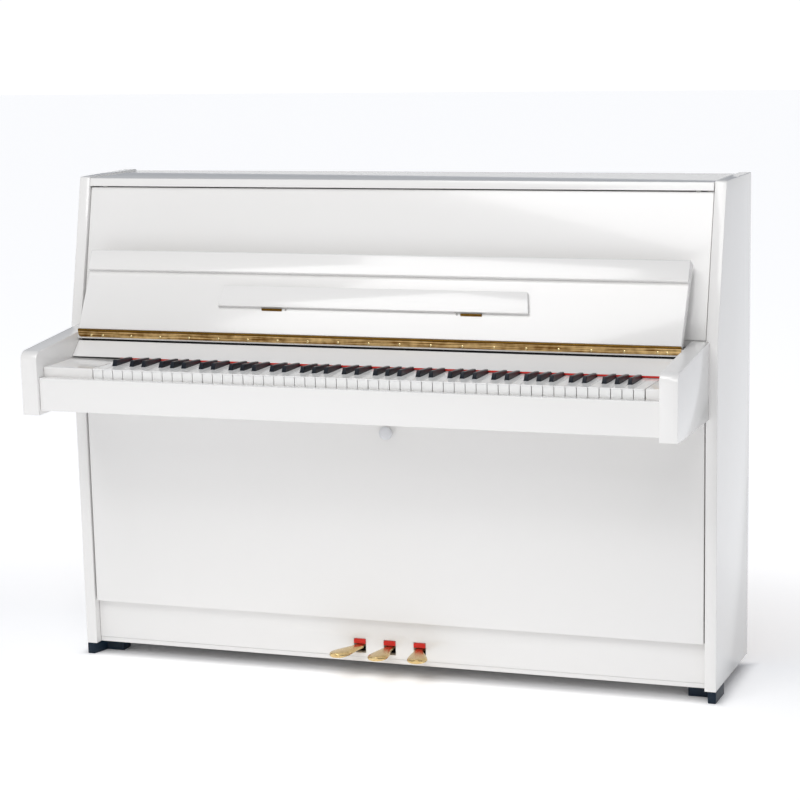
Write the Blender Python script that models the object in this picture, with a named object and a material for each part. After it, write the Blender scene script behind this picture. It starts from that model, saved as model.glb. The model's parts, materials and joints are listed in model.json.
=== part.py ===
"""Compact upright piano, 110 cm tall, with its case, keyboard, pedals and the main parts inside.

Units are metres. +X is the treble end, -Y the player's side, +Z up.
The origin lies on the floor, in the middle of the piano's width and depth.
"""

import math

import bmesh
import bpy
from mathutils import Vector

# Whole instrument
WIDTH = 1.490
HEIGHT = 1.100
DEPTH = 0.590
GAP = 0.0005  # between pieces that meet
CUT_PAST = 0.010  # how far a cutter reaches beyond what it cuts

# Case sides: upright to the knee, then leaning back to the lid
SIDE_THICK = 0.025
SIDE_FRONT = -0.022
SIDE_REAR = DEPTH / 2
SIDE_BOTTOM = 0.026
SLOPE_START = 0.7748
SLOPE_TOP_SETBACK = 0.076
SIDE_CORNER = 0.006
INNER_X = WIDTH / 2 - SIDE_THICK
SLOPE = SLOPE_TOP_SETBACK / (HEIGHT - SLOPE_START)

# Arms that carry the keyboard
ARM_INNER_X = 0.689
ARM_OUTER_X = 0.727
ARM_FRONT = -DEPTH / 2
ARM_BOTTOM = 0.6125
ARM_TOP_FRONT = 0.7520
ARM_TOP_REAR = 0.7755
ARM_NOSE = 0.020
ARM_TONGUE_REAR = 0.060

# Keybed, slip and the fixed blocks at the ends of the keys
BED_X = ARM_INNER_X - GAP
BED_BOTTOM = 0.6215
BED_TOP = 0.6537
BED_REAR = 0.040
SLIP_FRONT = -0.287
SLIP_REAR = -0.2665
SLIP_TOP = 0.6935
BLOCK_FRONT = -0.264
BLOCK_REAR = -0.030
BLOCK_TOP = 0.7145

# Keyboard
KEYS_LEFT = -0.5695
WHITE_PITCH = 0.0235
KEY_SIDE_GAP = 0.0005
WHITE_FRONT = -0.2645
WHITE_SHOULDER = -0.2175
WHITE_BOTTOM = 0.6905
WHITE_TOP = 0.7140
KEY_REAR = 0.118
BLACK_FRONT = -0.2155
BLACK_WIDTH = 0.0096
BLACK_CLEAR = 0.0012
BLACK_BOTTOM = 0.6920
BLACK_TOP = 0.7268
BLACK_TOP_REAR = 0.7215
BLACK_STICK_TOP = 0.7130
BLACK_SHARP_REAR = -0.1335
BALANCE_Y = -0.042
BALANCE_Z = 0.6890
BALANCE_RAIL_HALF = 0.016
TIE_HALF = 0.0025
TIE_REACH = 0.004  # past the middle of the last key
WHITE_TIE = (0.6850, 0.6910)
BLACK_TIE = (0.7160, 0.7210)
NOTES = ("a", "a_sharp", "b", "c", "c_sharp", "d", "d_sharp", "e", "f", "f_sharp", "g", "g_sharp")
KEY_COUNT = 88
WHITE_COUNT = 52
BLOCK_CLEAR = 0.0015  # between the last key and the block beside it
MIDDLE_OCTAVE = range(39, 51)
# A black key stands this share of a white key off the line between its neighbours.
BLACK_SHIFT = {"c_sharp": -1 / 10, "d_sharp": 1 / 10, "f_sharp": -1 / 7, "g_sharp": 0, "a_sharp": 1 / 7}

# Board behind the keys, and the rail with the fallboard's brass hinge
NAME_BOARD_BOTTOM = 0.7185
NAME_BOARD_TOP = 0.7495
NAME_BOARD_FRONT = -0.131
NAME_BOARD_TOP_FRONT = -0.0965
NAME_BOARD_THICK = 0.013
HINGE_Y = -0.1005
HINGE_Z = 0.7735
HINGE_RADIUS = 0.0026
HINGE_LEAF = 0.0016
HINGE_BOTTOM = 0.7560
FALLBOARD_X = 0.6865
RAIL_FRONT = -0.0994
RAIL_REAR = 0.0050
RAIL_BOTTOM = 0.7545
RAIL_BACK_TOP = 0.7620
RAIL_TOP = 0.7700
RAIL_TOP_DEPTH = 0.0019
RAIL_STEP_REAR = -0.0850

# Fallboard, standing open. In its own frame Z runs up the board and Y goes through it.
FALLBOARD_LEAN = math.radians(29.0)
LEAF_START = 0.0032
LEAF_LENGTH = 0.1897
LEAF_THICK = 0.018
LIP_WIDTH = 0.048
LIP_THICK = 0.010
LIP_GAP = 0.0003
LEDGE_BOTTOM = 0.0625
LEDGE_HEIGHT = 0.048
LEDGE_THICK = 0.0091
LEDGE_HALF_BOTTOM = 0.355
LEDGE_HALF_TOP = 0.347

# Upper panel and lid
PANEL_X = 0.7175
PANEL_RECESS = 0.008
PANEL_THICK = 0.020
PANEL_BOTTOM = 0.7765
PANEL_TOP = 1.0765
LID_BOTTOM = 1.0795
LID_TOP = 1.0970
LID_X = 0.7187
LID_REAR = 0.2878
LID_HINGE_Y = 0.2910
LID_HINGE_Z = 1.0948
LID_HINGE_RADIUS = 0.0020
LID_HINGE_BOTTOM = 1.0650
LID_HINGE_X = 0.600

# Lower panel, its knob, the toe rail and the bottom board
LOWER_X = 0.7165
LOWER_FRONT = -0.018
LOWER_REAR = 0.000
LOWER_BOTTOM = 0.1285
LOWER_TOP = 0.6115
KNOB_X = 0.013
KNOB_Z = 0.556
KNOB_RADIUS = 0.015
KNOB_LENGTH = 0.016
TOE_FRONT = -0.001
TOE_REAR = 0.018
TOE_BOTTOM = 0.038
TOE_TOP = 0.1265
BOARD_FRONT = 0.001
BOARD_REAR = 0.2240
BOARD_BOTTOM = 0.0265
BOARD_TOP = 0.0375

# Pedals and the rods that they lift
PEDAL_PITCH = 0.071
PEDAL_SLOT_HALF = 0.014
PEDAL_SLOT = (0.0470, 0.0797)
PEDAL_BOTTOM = 0.059
PEDAL_TOP = 0.068
PEDAL_PIVOT_Y = 0.035
PEDAL_REAR = 0.140
PEDAL_BAR_HALF = 0.010
PEDAL_HEAD_HALF = 0.0225
PEDAL_BEND_Y = -0.006
PEDAL_REACH = 0.094
PEDAL_SPLAY = math.radians(16.5)
ROD_Y = 0.130
ROD_RADIUS = 0.006
ROD_BOTTOM = 0.0685
ROD_TOP = 0.7580

# Feet
FOOT_TOP = 0.0257
FRONT_FOOT_OUTLINE = (
    (0.7275, -0.021),
    (0.7448, -0.021),
    (0.7448, 0.060),
    (0.6740, 0.060),
    (0.6740, 0.024),
    (0.7160, 0.024),
)
REAR_FOOT_X = (0.650, 0.700)
REAR_FOOT_Y = (0.228, 0.286)
REAR_FOOT_TOP = 0.0295

# Back frame, soundboard, iron plate and strings
BEAM_X = 0.7195
BACK_REAR = 0.2890
POST_FRONT = 0.2245
POST_WIDTH = 0.060
POST_SPACING = 0.400
BEAM_LOWER = (0.0300, 0.1200)
BEAM_UPPER = (0.9850, 1.0740)
PIN_BLOCK_X = 0.700
PIN_BLOCK = (0.9300, 1.0735)
SOUNDBOARD_Y = (0.2100, 0.2185)
PLATE_Y = (0.1500, 0.1720)
PLATE_Z = (0.1250, 1.0620)
PLATE_WINDOW_Z = (0.2800, 0.9000)
PLATE_WINDOWS = ((-0.640, -0.330), (-0.300, 0.020), (0.050, 0.330), (0.360, 0.640))
STRINGS_Y = (0.1450, 0.1462)
STRINGS_Z = (0.1600, 1.0200)
STRINGS_X = 0.660

# Action: rail, hammers and dampers
ACTION_RAIL_Y = (0.0580, 0.0780)
ACTION_RAIL_Z = (0.8000, 0.8350)
HAMMER_Y = 0.086
HAMMER_Z = 0.791
HAMMER_TOP = 0.9105
HAMMER_WIDTH = 0.009
DAMPER_Y = 0.116
DAMPER_Z = 0.779
DAMPER_TOP = 0.868
DAMPER_WIDTH = 0.009
DAMPER_COUNT = 66

# Finishes: linear colour, roughness, metallic
FINISHES = {
    "white_lacquer": ((0.86, 0.86, 0.85), 0.18, 0.0),
    "white_key": ((0.88, 0.88, 0.86), 0.22, 0.0),
    "black_key": ((0.012, 0.014, 0.018), 0.30, 0.0),
    "brass": ((0.62, 0.42, 0.16), 0.25, 1.0),
    "black_foot": ((0.010, 0.018, 0.026), 0.45, 0.0),
    "bare_wood": ((0.50, 0.34, 0.18), 0.60, 0.0),
    "spruce": ((0.66, 0.48, 0.27), 0.50, 0.0),
    "gilded_iron": ((0.45, 0.32, 0.12), 0.40, 0.6),
    "string_steel": ((0.55, 0.55, 0.56), 0.30, 1.0),
    "white_felt": ((0.75, 0.73, 0.68), 0.95, 0.0),
    "knob_plastic": ((0.70, 0.70, 0.70), 0.35, 0.0),
}

# For each axis that an outline is extruded along, the two axes that the outline lies in.
ACROSS = {"X": (1, 2), "Y": (0, 2), "Z": (0, 1)}
AXIS_INDEX = {"X": 0, "Y": 1, "Z": 2}


def clear_scene():
    for obj in list(bpy.data.objects):
        bpy.data.objects.remove(obj, do_unlink=True)


def finish(name):
    """The shared material of one finish."""
    found = bpy.data.materials.get(name)
    if found:
        return found
    color, roughness, metallic = FINISHES[name]
    made = bpy.data.materials.new(name)
    made.use_nodes = True
    shader = made.node_tree.nodes["Principled BSDF"]
    shader.inputs["Base Color"].default_value = (*color, 1.0)
    shader.inputs["Roughness"].default_value = roughness
    shader.inputs["Metallic"].default_value = metallic
    made.diffuse_color = (*color, 1.0)
    return made


def extrude(bm, outline, along, low, high):
    """Adds a closed prism: the outline, which lies across the axis `along`, from low to high."""
    first, second = ACROSS[along]
    corners = []
    for place in outline:
        point = Vector((0.0, 0.0, 0.0))
        point[first], point[second] = place
        point[AXIS_INDEX[along]] = low
        corners.append(bm.verts.new(point))
    face = bm.faces.new(corners)
    shift = Vector((0.0, 0.0, 0.0))
    shift[AXIS_INDEX[along]] = high - low
    grown = bmesh.ops.extrude_face_region(bm, geom=[face])["geom"]
    moved = [item for item in grown if isinstance(item, bmesh.types.BMVert)]
    bmesh.ops.translate(bm, verts=moved, vec=shift)


def rectangle(first, second):
    return ((first[0], second[0]), (first[1], second[0]), (first[1], second[1]), (first[0], second[1]))


def arc(center, radius, start, end, steps):
    """Points along an arc, angles in degrees, both ends included."""
    angles = [math.radians(start + (end - start) * step / steps) for step in range(steps + 1)]
    return [(center[0] + radius * math.cos(a), center[1] + radius * math.sin(a)) for a in angles]


def add(name, bm, finish_name, pivot=(0.0, 0.0, 0.0), parent=None):
    """Makes the object, with its origin at the pivot, in its parent's frame where it has one."""
    bmesh.ops.recalc_face_normals(bm, faces=bm.faces)
    bmesh.ops.translate(bm, verts=bm.verts, vec=-Vector(pivot))
    mesh = bpy.data.meshes.new(name)
    bm.to_mesh(mesh)
    bm.free()
    obj = bpy.data.objects.new(name, mesh)
    obj.location = pivot
    obj.parent = parent
    mesh.materials.append(finish(finish_name))
    bpy.context.scene.collection.objects.link(obj)
    return obj


def prism(name, outline, along, span, finish_name, pivot=(0.0, 0.0, 0.0), parent=None):
    bm = bmesh.new()
    extrude(bm, outline, along, *span)
    return add(name, bm, finish_name, pivot, parent)


def box(name, x, y, z, finish_name, pivot=(0.0, 0.0, 0.0), parent=None):
    return prism(name, rectangle(x, y), "Z", z, finish_name, pivot, parent)


def mirrored(span):
    return (-span[1], -span[0])


def boolean(obj, helper, operation):
    """Joins or cuts with a helper object that isn't part of the piano."""
    helper.hide_render = True
    helper.display_type = "WIRE"
    modifier = obj.modifiers.new(operation.lower(), "BOOLEAN")
    modifier.object = helper
    modifier.operation = operation
    modifier.solver = "EXACT"


def smooth_step(t):
    return t * t * (3 - 2 * t)


def panel_front(z):
    """Y of the slanted front of the case sides at a height."""
    return SIDE_FRONT + (z - SLOPE_START) * SLOPE


# Case


def side_panels():
    top_front = SIDE_FRONT + SLOPE_TOP_SETBACK
    rear_corner = arc((SIDE_REAR - SIDE_CORNER, HEIGHT - SIDE_CORNER), SIDE_CORNER, 0, 90, 3)
    front_corner = arc((top_front + SIDE_CORNER, HEIGHT - SIDE_CORNER), SIDE_CORNER, 90, 166, 3)
    outline = [(SIDE_FRONT, SIDE_BOTTOM), (SIDE_REAR, SIDE_BOTTOM), *rear_corner, *front_corner]
    outline.append((SIDE_FRONT, SLOPE_START))
    span = (INNER_X, WIDTH / 2)
    prism("side_panel_left", outline, "X", mirrored(span), "white_lacquer")
    prism("side_panel_right", outline, "X", span, "white_lacquer")


def arms():
    nose = arc((ARM_FRONT + ARM_NOSE, ARM_TOP_FRONT - ARM_NOSE), ARM_NOSE, 180, 97, 5)
    outline = [(ARM_TONGUE_REAR, BED_BOTTOM), (SIDE_FRONT - GAP, BED_BOTTOM), (SIDE_FRONT - GAP, ARM_BOTTOM)]
    outline += [(ARM_FRONT, ARM_BOTTOM), *nose]
    outline += [(SIDE_FRONT, ARM_TOP_REAR), (ARM_TONGUE_REAR, ARM_TOP_REAR)]
    span = (ARM_INNER_X, ARM_OUTER_X)
    notch = (INNER_X - GAP, ARM_OUTER_X + CUT_PAST)
    for side, place in (("left", mirrored), ("right", tuple)):
        arm = prism(f"arm_{side}", outline, "X", place(span), "white_lacquer")
        cutter = box(
            f"arm_notch_{side}",
            place(notch),
            (SIDE_FRONT - GAP, ARM_TONGUE_REAR + CUT_PAST),
            (ARM_BOTTOM - CUT_PAST, ARM_TOP_REAR + CUT_PAST),
            "white_lacquer",
        )
        boolean(arm, cutter, "DIFFERENCE")


def keybed():
    whole = (-BED_X, BED_X)
    box("keybed", whole, (SLIP_REAR + GAP, BED_REAR), (BED_BOTTOM, BED_TOP), "white_lacquer")
    box("key_slip", whole, (SLIP_FRONT, SLIP_REAR), (BED_BOTTOM, SLIP_TOP), "white_lacquer")
    depth = (BLOCK_FRONT, BLOCK_REAR)
    height = (BED_TOP + GAP, BLOCK_TOP)
    keys_right = KEYS_LEFT + WHITE_COUNT * WHITE_PITCH
    box("key_block_left", (-BED_X, KEYS_LEFT - BLOCK_CLEAR), depth, height, "white_lacquer")
    box("key_block_right", (keys_right + BLOCK_CLEAR, BED_X), depth, height, "white_lacquer")
    balance = (BALANCE_Y - BALANCE_RAIL_HALF, BALANCE_Y + BALANCE_RAIL_HALF)
    box("balance_rail", (KEYS_LEFT, keys_right), balance, (BED_TOP + GAP, WHITE_TIE[0] - GAP), "spruce")


def name_board():
    outline = (
        (NAME_BOARD_FRONT, NAME_BOARD_BOTTOM),
        (NAME_BOARD_FRONT + NAME_BOARD_THICK, NAME_BOARD_BOTTOM),
        (NAME_BOARD_TOP_FRONT + NAME_BOARD_THICK, NAME_BOARD_TOP),
        (NAME_BOARD_TOP_FRONT, NAME_BOARD_TOP),
    )
    prism("name_board", outline, "X", (-BED_X, BED_X), "white_lacquer")
    rail = (
        (RAIL_FRONT, RAIL_BOTTOM),
        (RAIL_REAR, RAIL_BOTTOM),
        (RAIL_REAR, RAIL_BACK_TOP),
        (RAIL_STEP_REAR, RAIL_BACK_TOP),
        (RAIL_FRONT + RAIL_TOP_DEPTH, RAIL_TOP),
        (RAIL_FRONT, RAIL_TOP),
    )
    prism("hinge_rail", rail, "X", (-BED_X, BED_X), "white_lacquer")


def leaf_and_knuckle(center, radius, leaf, bottom):
    """Outline of a hinge leaf that hangs below its round knuckle."""
    half = leaf / 2
    open_angle = math.degrees(math.asin(half / radius))
    round_part = arc(center, radius, open_angle - 90, 270 - open_angle, 10)
    return [(center[0] - half, bottom), (center[0] + half, bottom), *round_part]


def fallboard():
    leaf = leaf_and_knuckle((HINGE_Y, HINGE_Z), HINGE_RADIUS, HINGE_LEAF, HINGE_BOTTOM)
    prism("fallboard_hinge", leaf, "X", (-FALLBOARD_X, FALLBOARD_X), "brass")
    axis = bpy.data.objects.new("fallboard_axis", None)
    axis.location = (0.0, HINGE_Y, HINGE_Z)
    axis.rotation_euler = (-FALLBOARD_LEAN, 0.0, 0.0)
    bpy.context.scene.collection.objects.link(axis)
    across = (-FALLBOARD_X, FALLBOARD_X)
    box("fallboard", across, (0.0, LEAF_THICK), (LEAF_START, LEAF_LENGTH), "white_lacquer", parent=axis)
    lip(axis)
    ledge(axis)


def lip(axis):
    """Front lip, folded flat on the open board. Its edge is round about the pivot pins."""
    radius = LIP_THICK / 2
    middle = -LIP_GAP - radius
    pivot_z = LEAF_LENGTH - radius
    nose = arc((middle, pivot_z), radius, 0, 180, 6)
    outline = [(-LIP_GAP - LIP_THICK, LEAF_LENGTH - LIP_WIDTH), (-LIP_GAP, LEAF_LENGTH - LIP_WIDTH), *nose]
    across = (-FALLBOARD_X, FALLBOARD_X)
    prism("fallboard_lip", outline, "X", across, "white_lacquer", (0.0, middle, pivot_z), axis)


def ledge(axis):
    """Music ledge, folded up flat on the open board, with slanted ends."""
    outline = (
        (-LEDGE_HALF_BOTTOM, LEDGE_BOTTOM),
        (LEDGE_HALF_BOTTOM, LEDGE_BOTTOM),
        (LEDGE_HALF_TOP, LEDGE_BOTTOM + LEDGE_HEIGHT),
        (-LEDGE_HALF_TOP, LEDGE_BOTTOM + LEDGE_HEIGHT),
    )
    span = (-LIP_GAP - LEDGE_THICK, -LIP_GAP)
    prism("music_ledge", outline, "Y", span, "white_lacquer", (0.0, -LIP_GAP, LEDGE_BOTTOM), axis)


def upper_panel_and_lid():
    front = [(panel_front(z) + PANEL_RECESS, z) for z in (PANEL_BOTTOM, PANEL_TOP)]
    rear = [(y + PANEL_THICK, z) for y, z in reversed(front)]
    prism("upper_panel", front + rear, "X", (-PANEL_X, PANEL_X), "white_lacquer")
    lid = (
        (panel_front(LID_BOTTOM), LID_BOTTOM),
        (LID_REAR, LID_BOTTOM),
        (LID_REAR, LID_TOP),
        (panel_front(LID_TOP), LID_TOP),
    )
    pivot = (0.0, LID_HINGE_Y, LID_HINGE_Z)
    prism("lid", lid, "X", (-LID_X, LID_X), "white_lacquer", pivot)
    knuckle = (LID_HINGE_Y, LID_HINGE_Z)
    leaf = leaf_and_knuckle(knuckle, LID_HINGE_RADIUS, HINGE_LEAF, LID_HINGE_BOTTOM)
    prism("lid_hinge", leaf, "X", (-LID_HINGE_X, LID_HINGE_X), "brass")


def lower_case():
    pivot = (0.0, LOWER_FRONT, LOWER_BOTTOM)
    depth = (LOWER_FRONT, LOWER_REAR)
    box("lower_panel", (-LOWER_X, LOWER_X), depth, (LOWER_BOTTOM, LOWER_TOP), "white_lacquer", pivot)
    knob = arc((KNOB_X, KNOB_Z), KNOB_RADIUS, 0, 345, 23)
    span = (LOWER_FRONT - GAP - KNOB_LENGTH, LOWER_FRONT - GAP)
    prism("lower_panel_knob", knob, "Y", span, "knob_plastic", pivot)
    rail = box("toe_rail", (-BEAM_X, BEAM_X), (TOE_FRONT, TOE_REAR), (TOE_BOTTOM, TOE_TOP), "white_lacquer")
    bm = bmesh.new()
    for x in (-PEDAL_PITCH, 0.0, PEDAL_PITCH):
        slot = rectangle((x - PEDAL_SLOT_HALF, x + PEDAL_SLOT_HALF), PEDAL_SLOT)
        extrude(bm, slot, "Y", TOE_FRONT - CUT_PAST, TOE_REAR + CUT_PAST)
    boolean(rail, add("pedal_slots", bm, "white_lacquer"), "DIFFERENCE")
    board = (BOARD_BOTTOM, BOARD_TOP)
    box("bottom_board", (-BEAM_X, BEAM_X), (BOARD_FRONT, BOARD_REAR), board, "white_lacquer")


def feet():
    height = (0.0, FOOT_TOP)
    mirror_outline = [(-x, y) for x, y in FRONT_FOOT_OUTLINE]
    prism("foot_front_left", mirror_outline, "Z", height, "black_foot")
    prism("foot_front_right", FRONT_FOOT_OUTLINE, "Z", height, "black_foot")
    height = (0.0, REAR_FOOT_TOP)
    box("foot_rear_left", mirrored(REAR_FOOT_X), REAR_FOOT_Y, height, "black_foot")
    box("foot_rear_right", REAR_FOOT_X, REAR_FOOT_Y, height, "black_foot")


# Pedals


def pedal_outline(x, splay):
    """Plan of a pedal: a straight bar through the toe rail, then a bent, widening, round head."""
    steps = 8
    heading = Vector((math.sin(splay), -math.cos(splay)))
    side = Vector((math.cos(splay), math.sin(splay)))
    neck_end = PEDAL_REACH - PEDAL_HEAD_HALF
    left, right = [], []
    for step in range(steps + 1):
        along = neck_end * step / steps
        half = PEDAL_BAR_HALF + (PEDAL_HEAD_HALF - PEDAL_BAR_HALF) * smooth_step(step / steps)
        middle = Vector((x, PEDAL_BEND_Y)) + heading * along
        left.append(middle - side * half)
        right.append(middle + side * half)
    center = Vector((x, PEDAL_BEND_Y)) + heading * neck_end
    turn = [math.pi * step / steps for step in range(1, steps)]
    nose = [center - side * PEDAL_HEAD_HALF * math.cos(a) + heading * PEDAL_HEAD_HALF * math.sin(a) for a in turn]
    rear = [Vector((x + PEDAL_BAR_HALF, PEDAL_REAR)), Vector((x - PEDAL_BAR_HALF, PEDAL_REAR))]
    return left + nose + right[::-1] + rear


def pedals():
    for name, side in (("left", -1), ("middle", 0), ("right", 1)):
        x = side * PEDAL_PITCH
        pivot = (x, PEDAL_PIVOT_Y, PEDAL_BOTTOM)
        outline = pedal_outline(x, side * PEDAL_SPLAY)
        prism(f"pedal_{name}", outline, "Z", (PEDAL_BOTTOM, PEDAL_TOP), "brass", pivot)
        rod = arc((x, ROD_Y), ROD_RADIUS, 0, 330, 11)
        prism(f"pedal_rod_{name}", rod, "Z", (ROD_BOTTOM, ROD_TOP), "bare_wood", (x, ROD_Y, ROD_BOTTOM))


# Back, soundboard, plate and strings


def back():
    depth = (POST_FRONT, BACK_REAR)
    across = (-BEAM_X, BEAM_X)
    box("back_beam_bottom", across, depth, BEAM_LOWER, "bare_wood")
    box("back_beam_top", across, depth, BEAM_UPPER, "bare_wood")
    height = (BEAM_LOWER[1] + GAP, BEAM_UPPER[0] - GAP)
    for name, side in (("left", -1), ("middle", 0), ("right", 1)):
        x = side * POST_SPACING
        box(f"back_post_{name}", (x - POST_WIDTH / 2, x + POST_WIDTH / 2), depth, height, "bare_wood")
    pin_depth = (PLATE_Y[1] + GAP, POST_FRONT - GAP)
    box("pin_block", (-PIN_BLOCK_X, PIN_BLOCK_X), pin_depth, PIN_BLOCK, "bare_wood")
    board_height = (BEAM_LOWER[1] + GAP, PIN_BLOCK[0] - GAP)
    box("soundboard", across, SOUNDBOARD_Y, board_height, "spruce")


def plate_and_strings():
    plate = box("iron_plate", (-PIN_BLOCK_X, PIN_BLOCK_X), PLATE_Y, PLATE_Z, "gilded_iron")
    bm = bmesh.new()
    for window in PLATE_WINDOWS:
        extrude(bm, rectangle(window, PLATE_WINDOW_Z), "Y", PLATE_Y[0] - CUT_PAST, PLATE_Y[1] + CUT_PAST)
    boolean(plate, add("plate_windows", bm, "gilded_iron"), "DIFFERENCE")
    box("strings", (-STRINGS_X, STRINGS_X), STRINGS_Y, STRINGS_Z, "string_steel")


# Keyboard and action


def keyboard():
    """Every key, low to high: its name, its number, and where it stands in the row of white keys."""
    keys = []
    whites = 0
    for number in range(KEY_COUNT):
        note = NOTES[number % 12]
        octave = (number + 9) // 12
        keys.append((note, octave, number, whites))
        if note not in BLACK_SHIFT:
            whites += 1
    return keys


def black_center(note, whites):
    return KEYS_LEFT + WHITE_PITCH * (whites + BLACK_SHIFT[note])


def white_outline(whites, black_lines):
    """Plan of a white key, narrowed beside each black key that stands on one of its side lines."""
    left = KEYS_LEFT + WHITE_PITCH * whites + KEY_SIDE_GAP
    right = KEYS_LEFT + WHITE_PITCH * (whites + 1) - KEY_SIDE_GAP
    notch = BLACK_WIDTH / 2 + BLACK_CLEAR
    outline = [(left, WHITE_FRONT), (right, WHITE_FRONT)]
    tail_left, tail_right = left, right
    if whites + 1 in black_lines:
        tail_right = black_lines[whites + 1] - notch
        outline += [(right, WHITE_SHOULDER), (tail_right, WHITE_SHOULDER)]
    if whites in black_lines:
        tail_left = black_lines[whites] + notch
    outline += [(tail_right, KEY_REAR), (tail_left, KEY_REAR)]
    if whites in black_lines:
        outline += [(tail_left, WHITE_SHOULDER), (left, WHITE_SHOULDER)]
    return outline


def black_profile(tied):
    """Side view of a black key. A tied one has a lug up to the bar that joins its group."""
    lug = []
    if tied:
        top = BLACK_TIE[0] + 0.001
        lug = [(BALANCE_Y + 0.004, BLACK_STICK_TOP), (BALANCE_Y + 0.004, top)]
        lug += [(BALANCE_Y - 0.004, top), (BALANCE_Y - 0.004, BLACK_STICK_TOP)]
    return [
        (BLACK_FRONT, BLACK_BOTTOM),
        (KEY_REAR, BLACK_BOTTOM),
        (KEY_REAR, BLACK_STICK_TOP),
        *lug,
        (BLACK_SHARP_REAR + 0.001, BLACK_STICK_TOP),
        (BLACK_SHARP_REAR, BLACK_TOP_REAR),
        (BLACK_FRONT + 0.005, BLACK_TOP),
        (BLACK_FRONT, WHITE_TOP),
    ]


def key_group(name, keys, black_lines, white):
    """A group of keys on one bar along the balance rail: white ones below, black ones above."""
    bm = bmesh.new()
    middles = []
    for note, _, _, whites in keys:
        if white:
            outline = white_outline(whites, black_lines)
            extrude(bm, outline, "Z", WHITE_BOTTOM, WHITE_TOP)
            middle = KEYS_LEFT + WHITE_PITCH * (whites + 0.5)
        else:
            middle = black_center(note, whites)
            half = BLACK_WIDTH / 2
            extrude(bm, black_profile(True), "X", middle - half, middle + half)
        middles.append(middle)
    kind = "white_key" if white else "black_key"
    teeth = add(f"{name}_levers", bm, kind)
    height = WHITE_TIE if white else BLACK_TIE
    across = (min(middles) - TIE_REACH, max(middles) + TIE_REACH)
    depth = (BALANCE_Y - TIE_HALF, BALANCE_Y + TIE_HALF)
    bar = box(name, across, depth, height, kind, (0.0, BALANCE_Y, BALANCE_Z))
    boolean(bar, teeth, "UNION")


def keys():
    every = keyboard()
    black_lines = {w: black_center(note, w) for note, _, _, w in every if note in BLACK_SHIFT}
    pivot = (0.0, BALANCE_Y, BALANCE_Z)
    for note, octave, number, whites in every:
        if number not in MIDDLE_OCTAVE:
            continue
        if note in BLACK_SHIFT:
            middle = black_lines[whites]
            span = (middle - BLACK_WIDTH / 2, middle + BLACK_WIDTH / 2)
            prism(f"black_key_{note}_{octave}", black_profile(False), "X", span, "black_key", pivot)
        else:
            outline = white_outline(whites, black_lines)
            span = (WHITE_BOTTOM, WHITE_TOP)
            prism(f"white_key_{note}_{octave}", outline, "Z", span, "white_key", pivot)
    for part, numbers in (("bass", range(MIDDLE_OCTAVE.start)), ("treble", range(MIDDLE_OCTAVE.stop, KEY_COUNT))):
        group = [key for key in every if key[2] in numbers]
        whites = [key for key in group if key[0] not in BLACK_SHIFT]
        blacks = [key for key in group if key[0] in BLACK_SHIFT]
        key_group(f"white_keys_{part}", whites, black_lines, True)
        key_group(f"black_keys_{part}", blacks, black_lines, False)


def comb(name, profile, bar_y, bar_z, places, width, finish_name, pivot):
    """A row of like pieces on one bar."""
    bm = bmesh.new()
    for x in places:
        extrude(bm, profile, "X", x - width / 2, x + width / 2)
    teeth = add(f"{name}_row", bm, finish_name)
    bar = box(name, (places[0] - width, places[-1] + width), bar_y, bar_z, finish_name, pivot)
    boolean(bar, teeth, "UNION")


def action():
    box("action_rail", (-BED_X, BED_X), ACTION_RAIL_Y, ACTION_RAIL_Z, "bare_wood")
    pitch = WHITE_COUNT * WHITE_PITCH / KEY_COUNT
    places = [KEYS_LEFT + pitch * (number + 0.5) for number in range(KEY_COUNT)]
    hammer = (
        (HAMMER_Y - 0.003, HAMMER_Z),
        (HAMMER_Y + 0.003, HAMMER_Z),
        (HAMMER_Y + 0.003, HAMMER_TOP - 0.018),
        (HAMMER_Y + 0.032, HAMMER_TOP - 0.015),
        (HAMMER_Y + 0.034, HAMMER_TOP - 0.008),
        (HAMMER_Y + 0.030, HAMMER_TOP - 0.001),
        (HAMMER_Y - 0.003, HAMMER_TOP),
    )
    bar_y = (HAMMER_Y - 0.006, HAMMER_Y + 0.006)
    bar_z = (HAMMER_Z - 0.006, HAMMER_Z + 0.006)
    pivot = (0.0, HAMMER_Y, HAMMER_Z)
    comb("hammers", hammer, bar_y, bar_z, places, HAMMER_WIDTH, "white_felt", pivot)
    damper = (
        (DAMPER_Y - 0.002, DAMPER_Z),
        (DAMPER_Y + 0.002, DAMPER_Z),
        (DAMPER_Y + 0.002, DAMPER_TOP - 0.022),
        (STRINGS_Y[0] - GAP, DAMPER_TOP - 0.022),
        (STRINGS_Y[0] - GAP, DAMPER_TOP),
        (DAMPER_Y - 0.002, DAMPER_TOP),
    )
    bar_y = (DAMPER_Y - 0.004, DAMPER_Y + 0.004)
    bar_z = (DAMPER_Z - 0.004, DAMPER_Z + 0.004)
    pivot = (0.0, DAMPER_Y, DAMPER_Z)
    comb("dampers", damper, bar_y, bar_z, places[:DAMPER_COUNT], DAMPER_WIDTH, "white_felt", pivot)


def build():
    clear_scene()
    side_panels()
    arms()
    keybed()
    name_board()
    fallboard()
    upper_panel_and_lid()
    lower_case()
    feet()
    pedals()
    back()
    plate_and_strings()
    keys()
    action()


build()
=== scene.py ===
import json
import math

import bmesh
import bpy
from mathutils import Matrix, Vector


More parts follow.
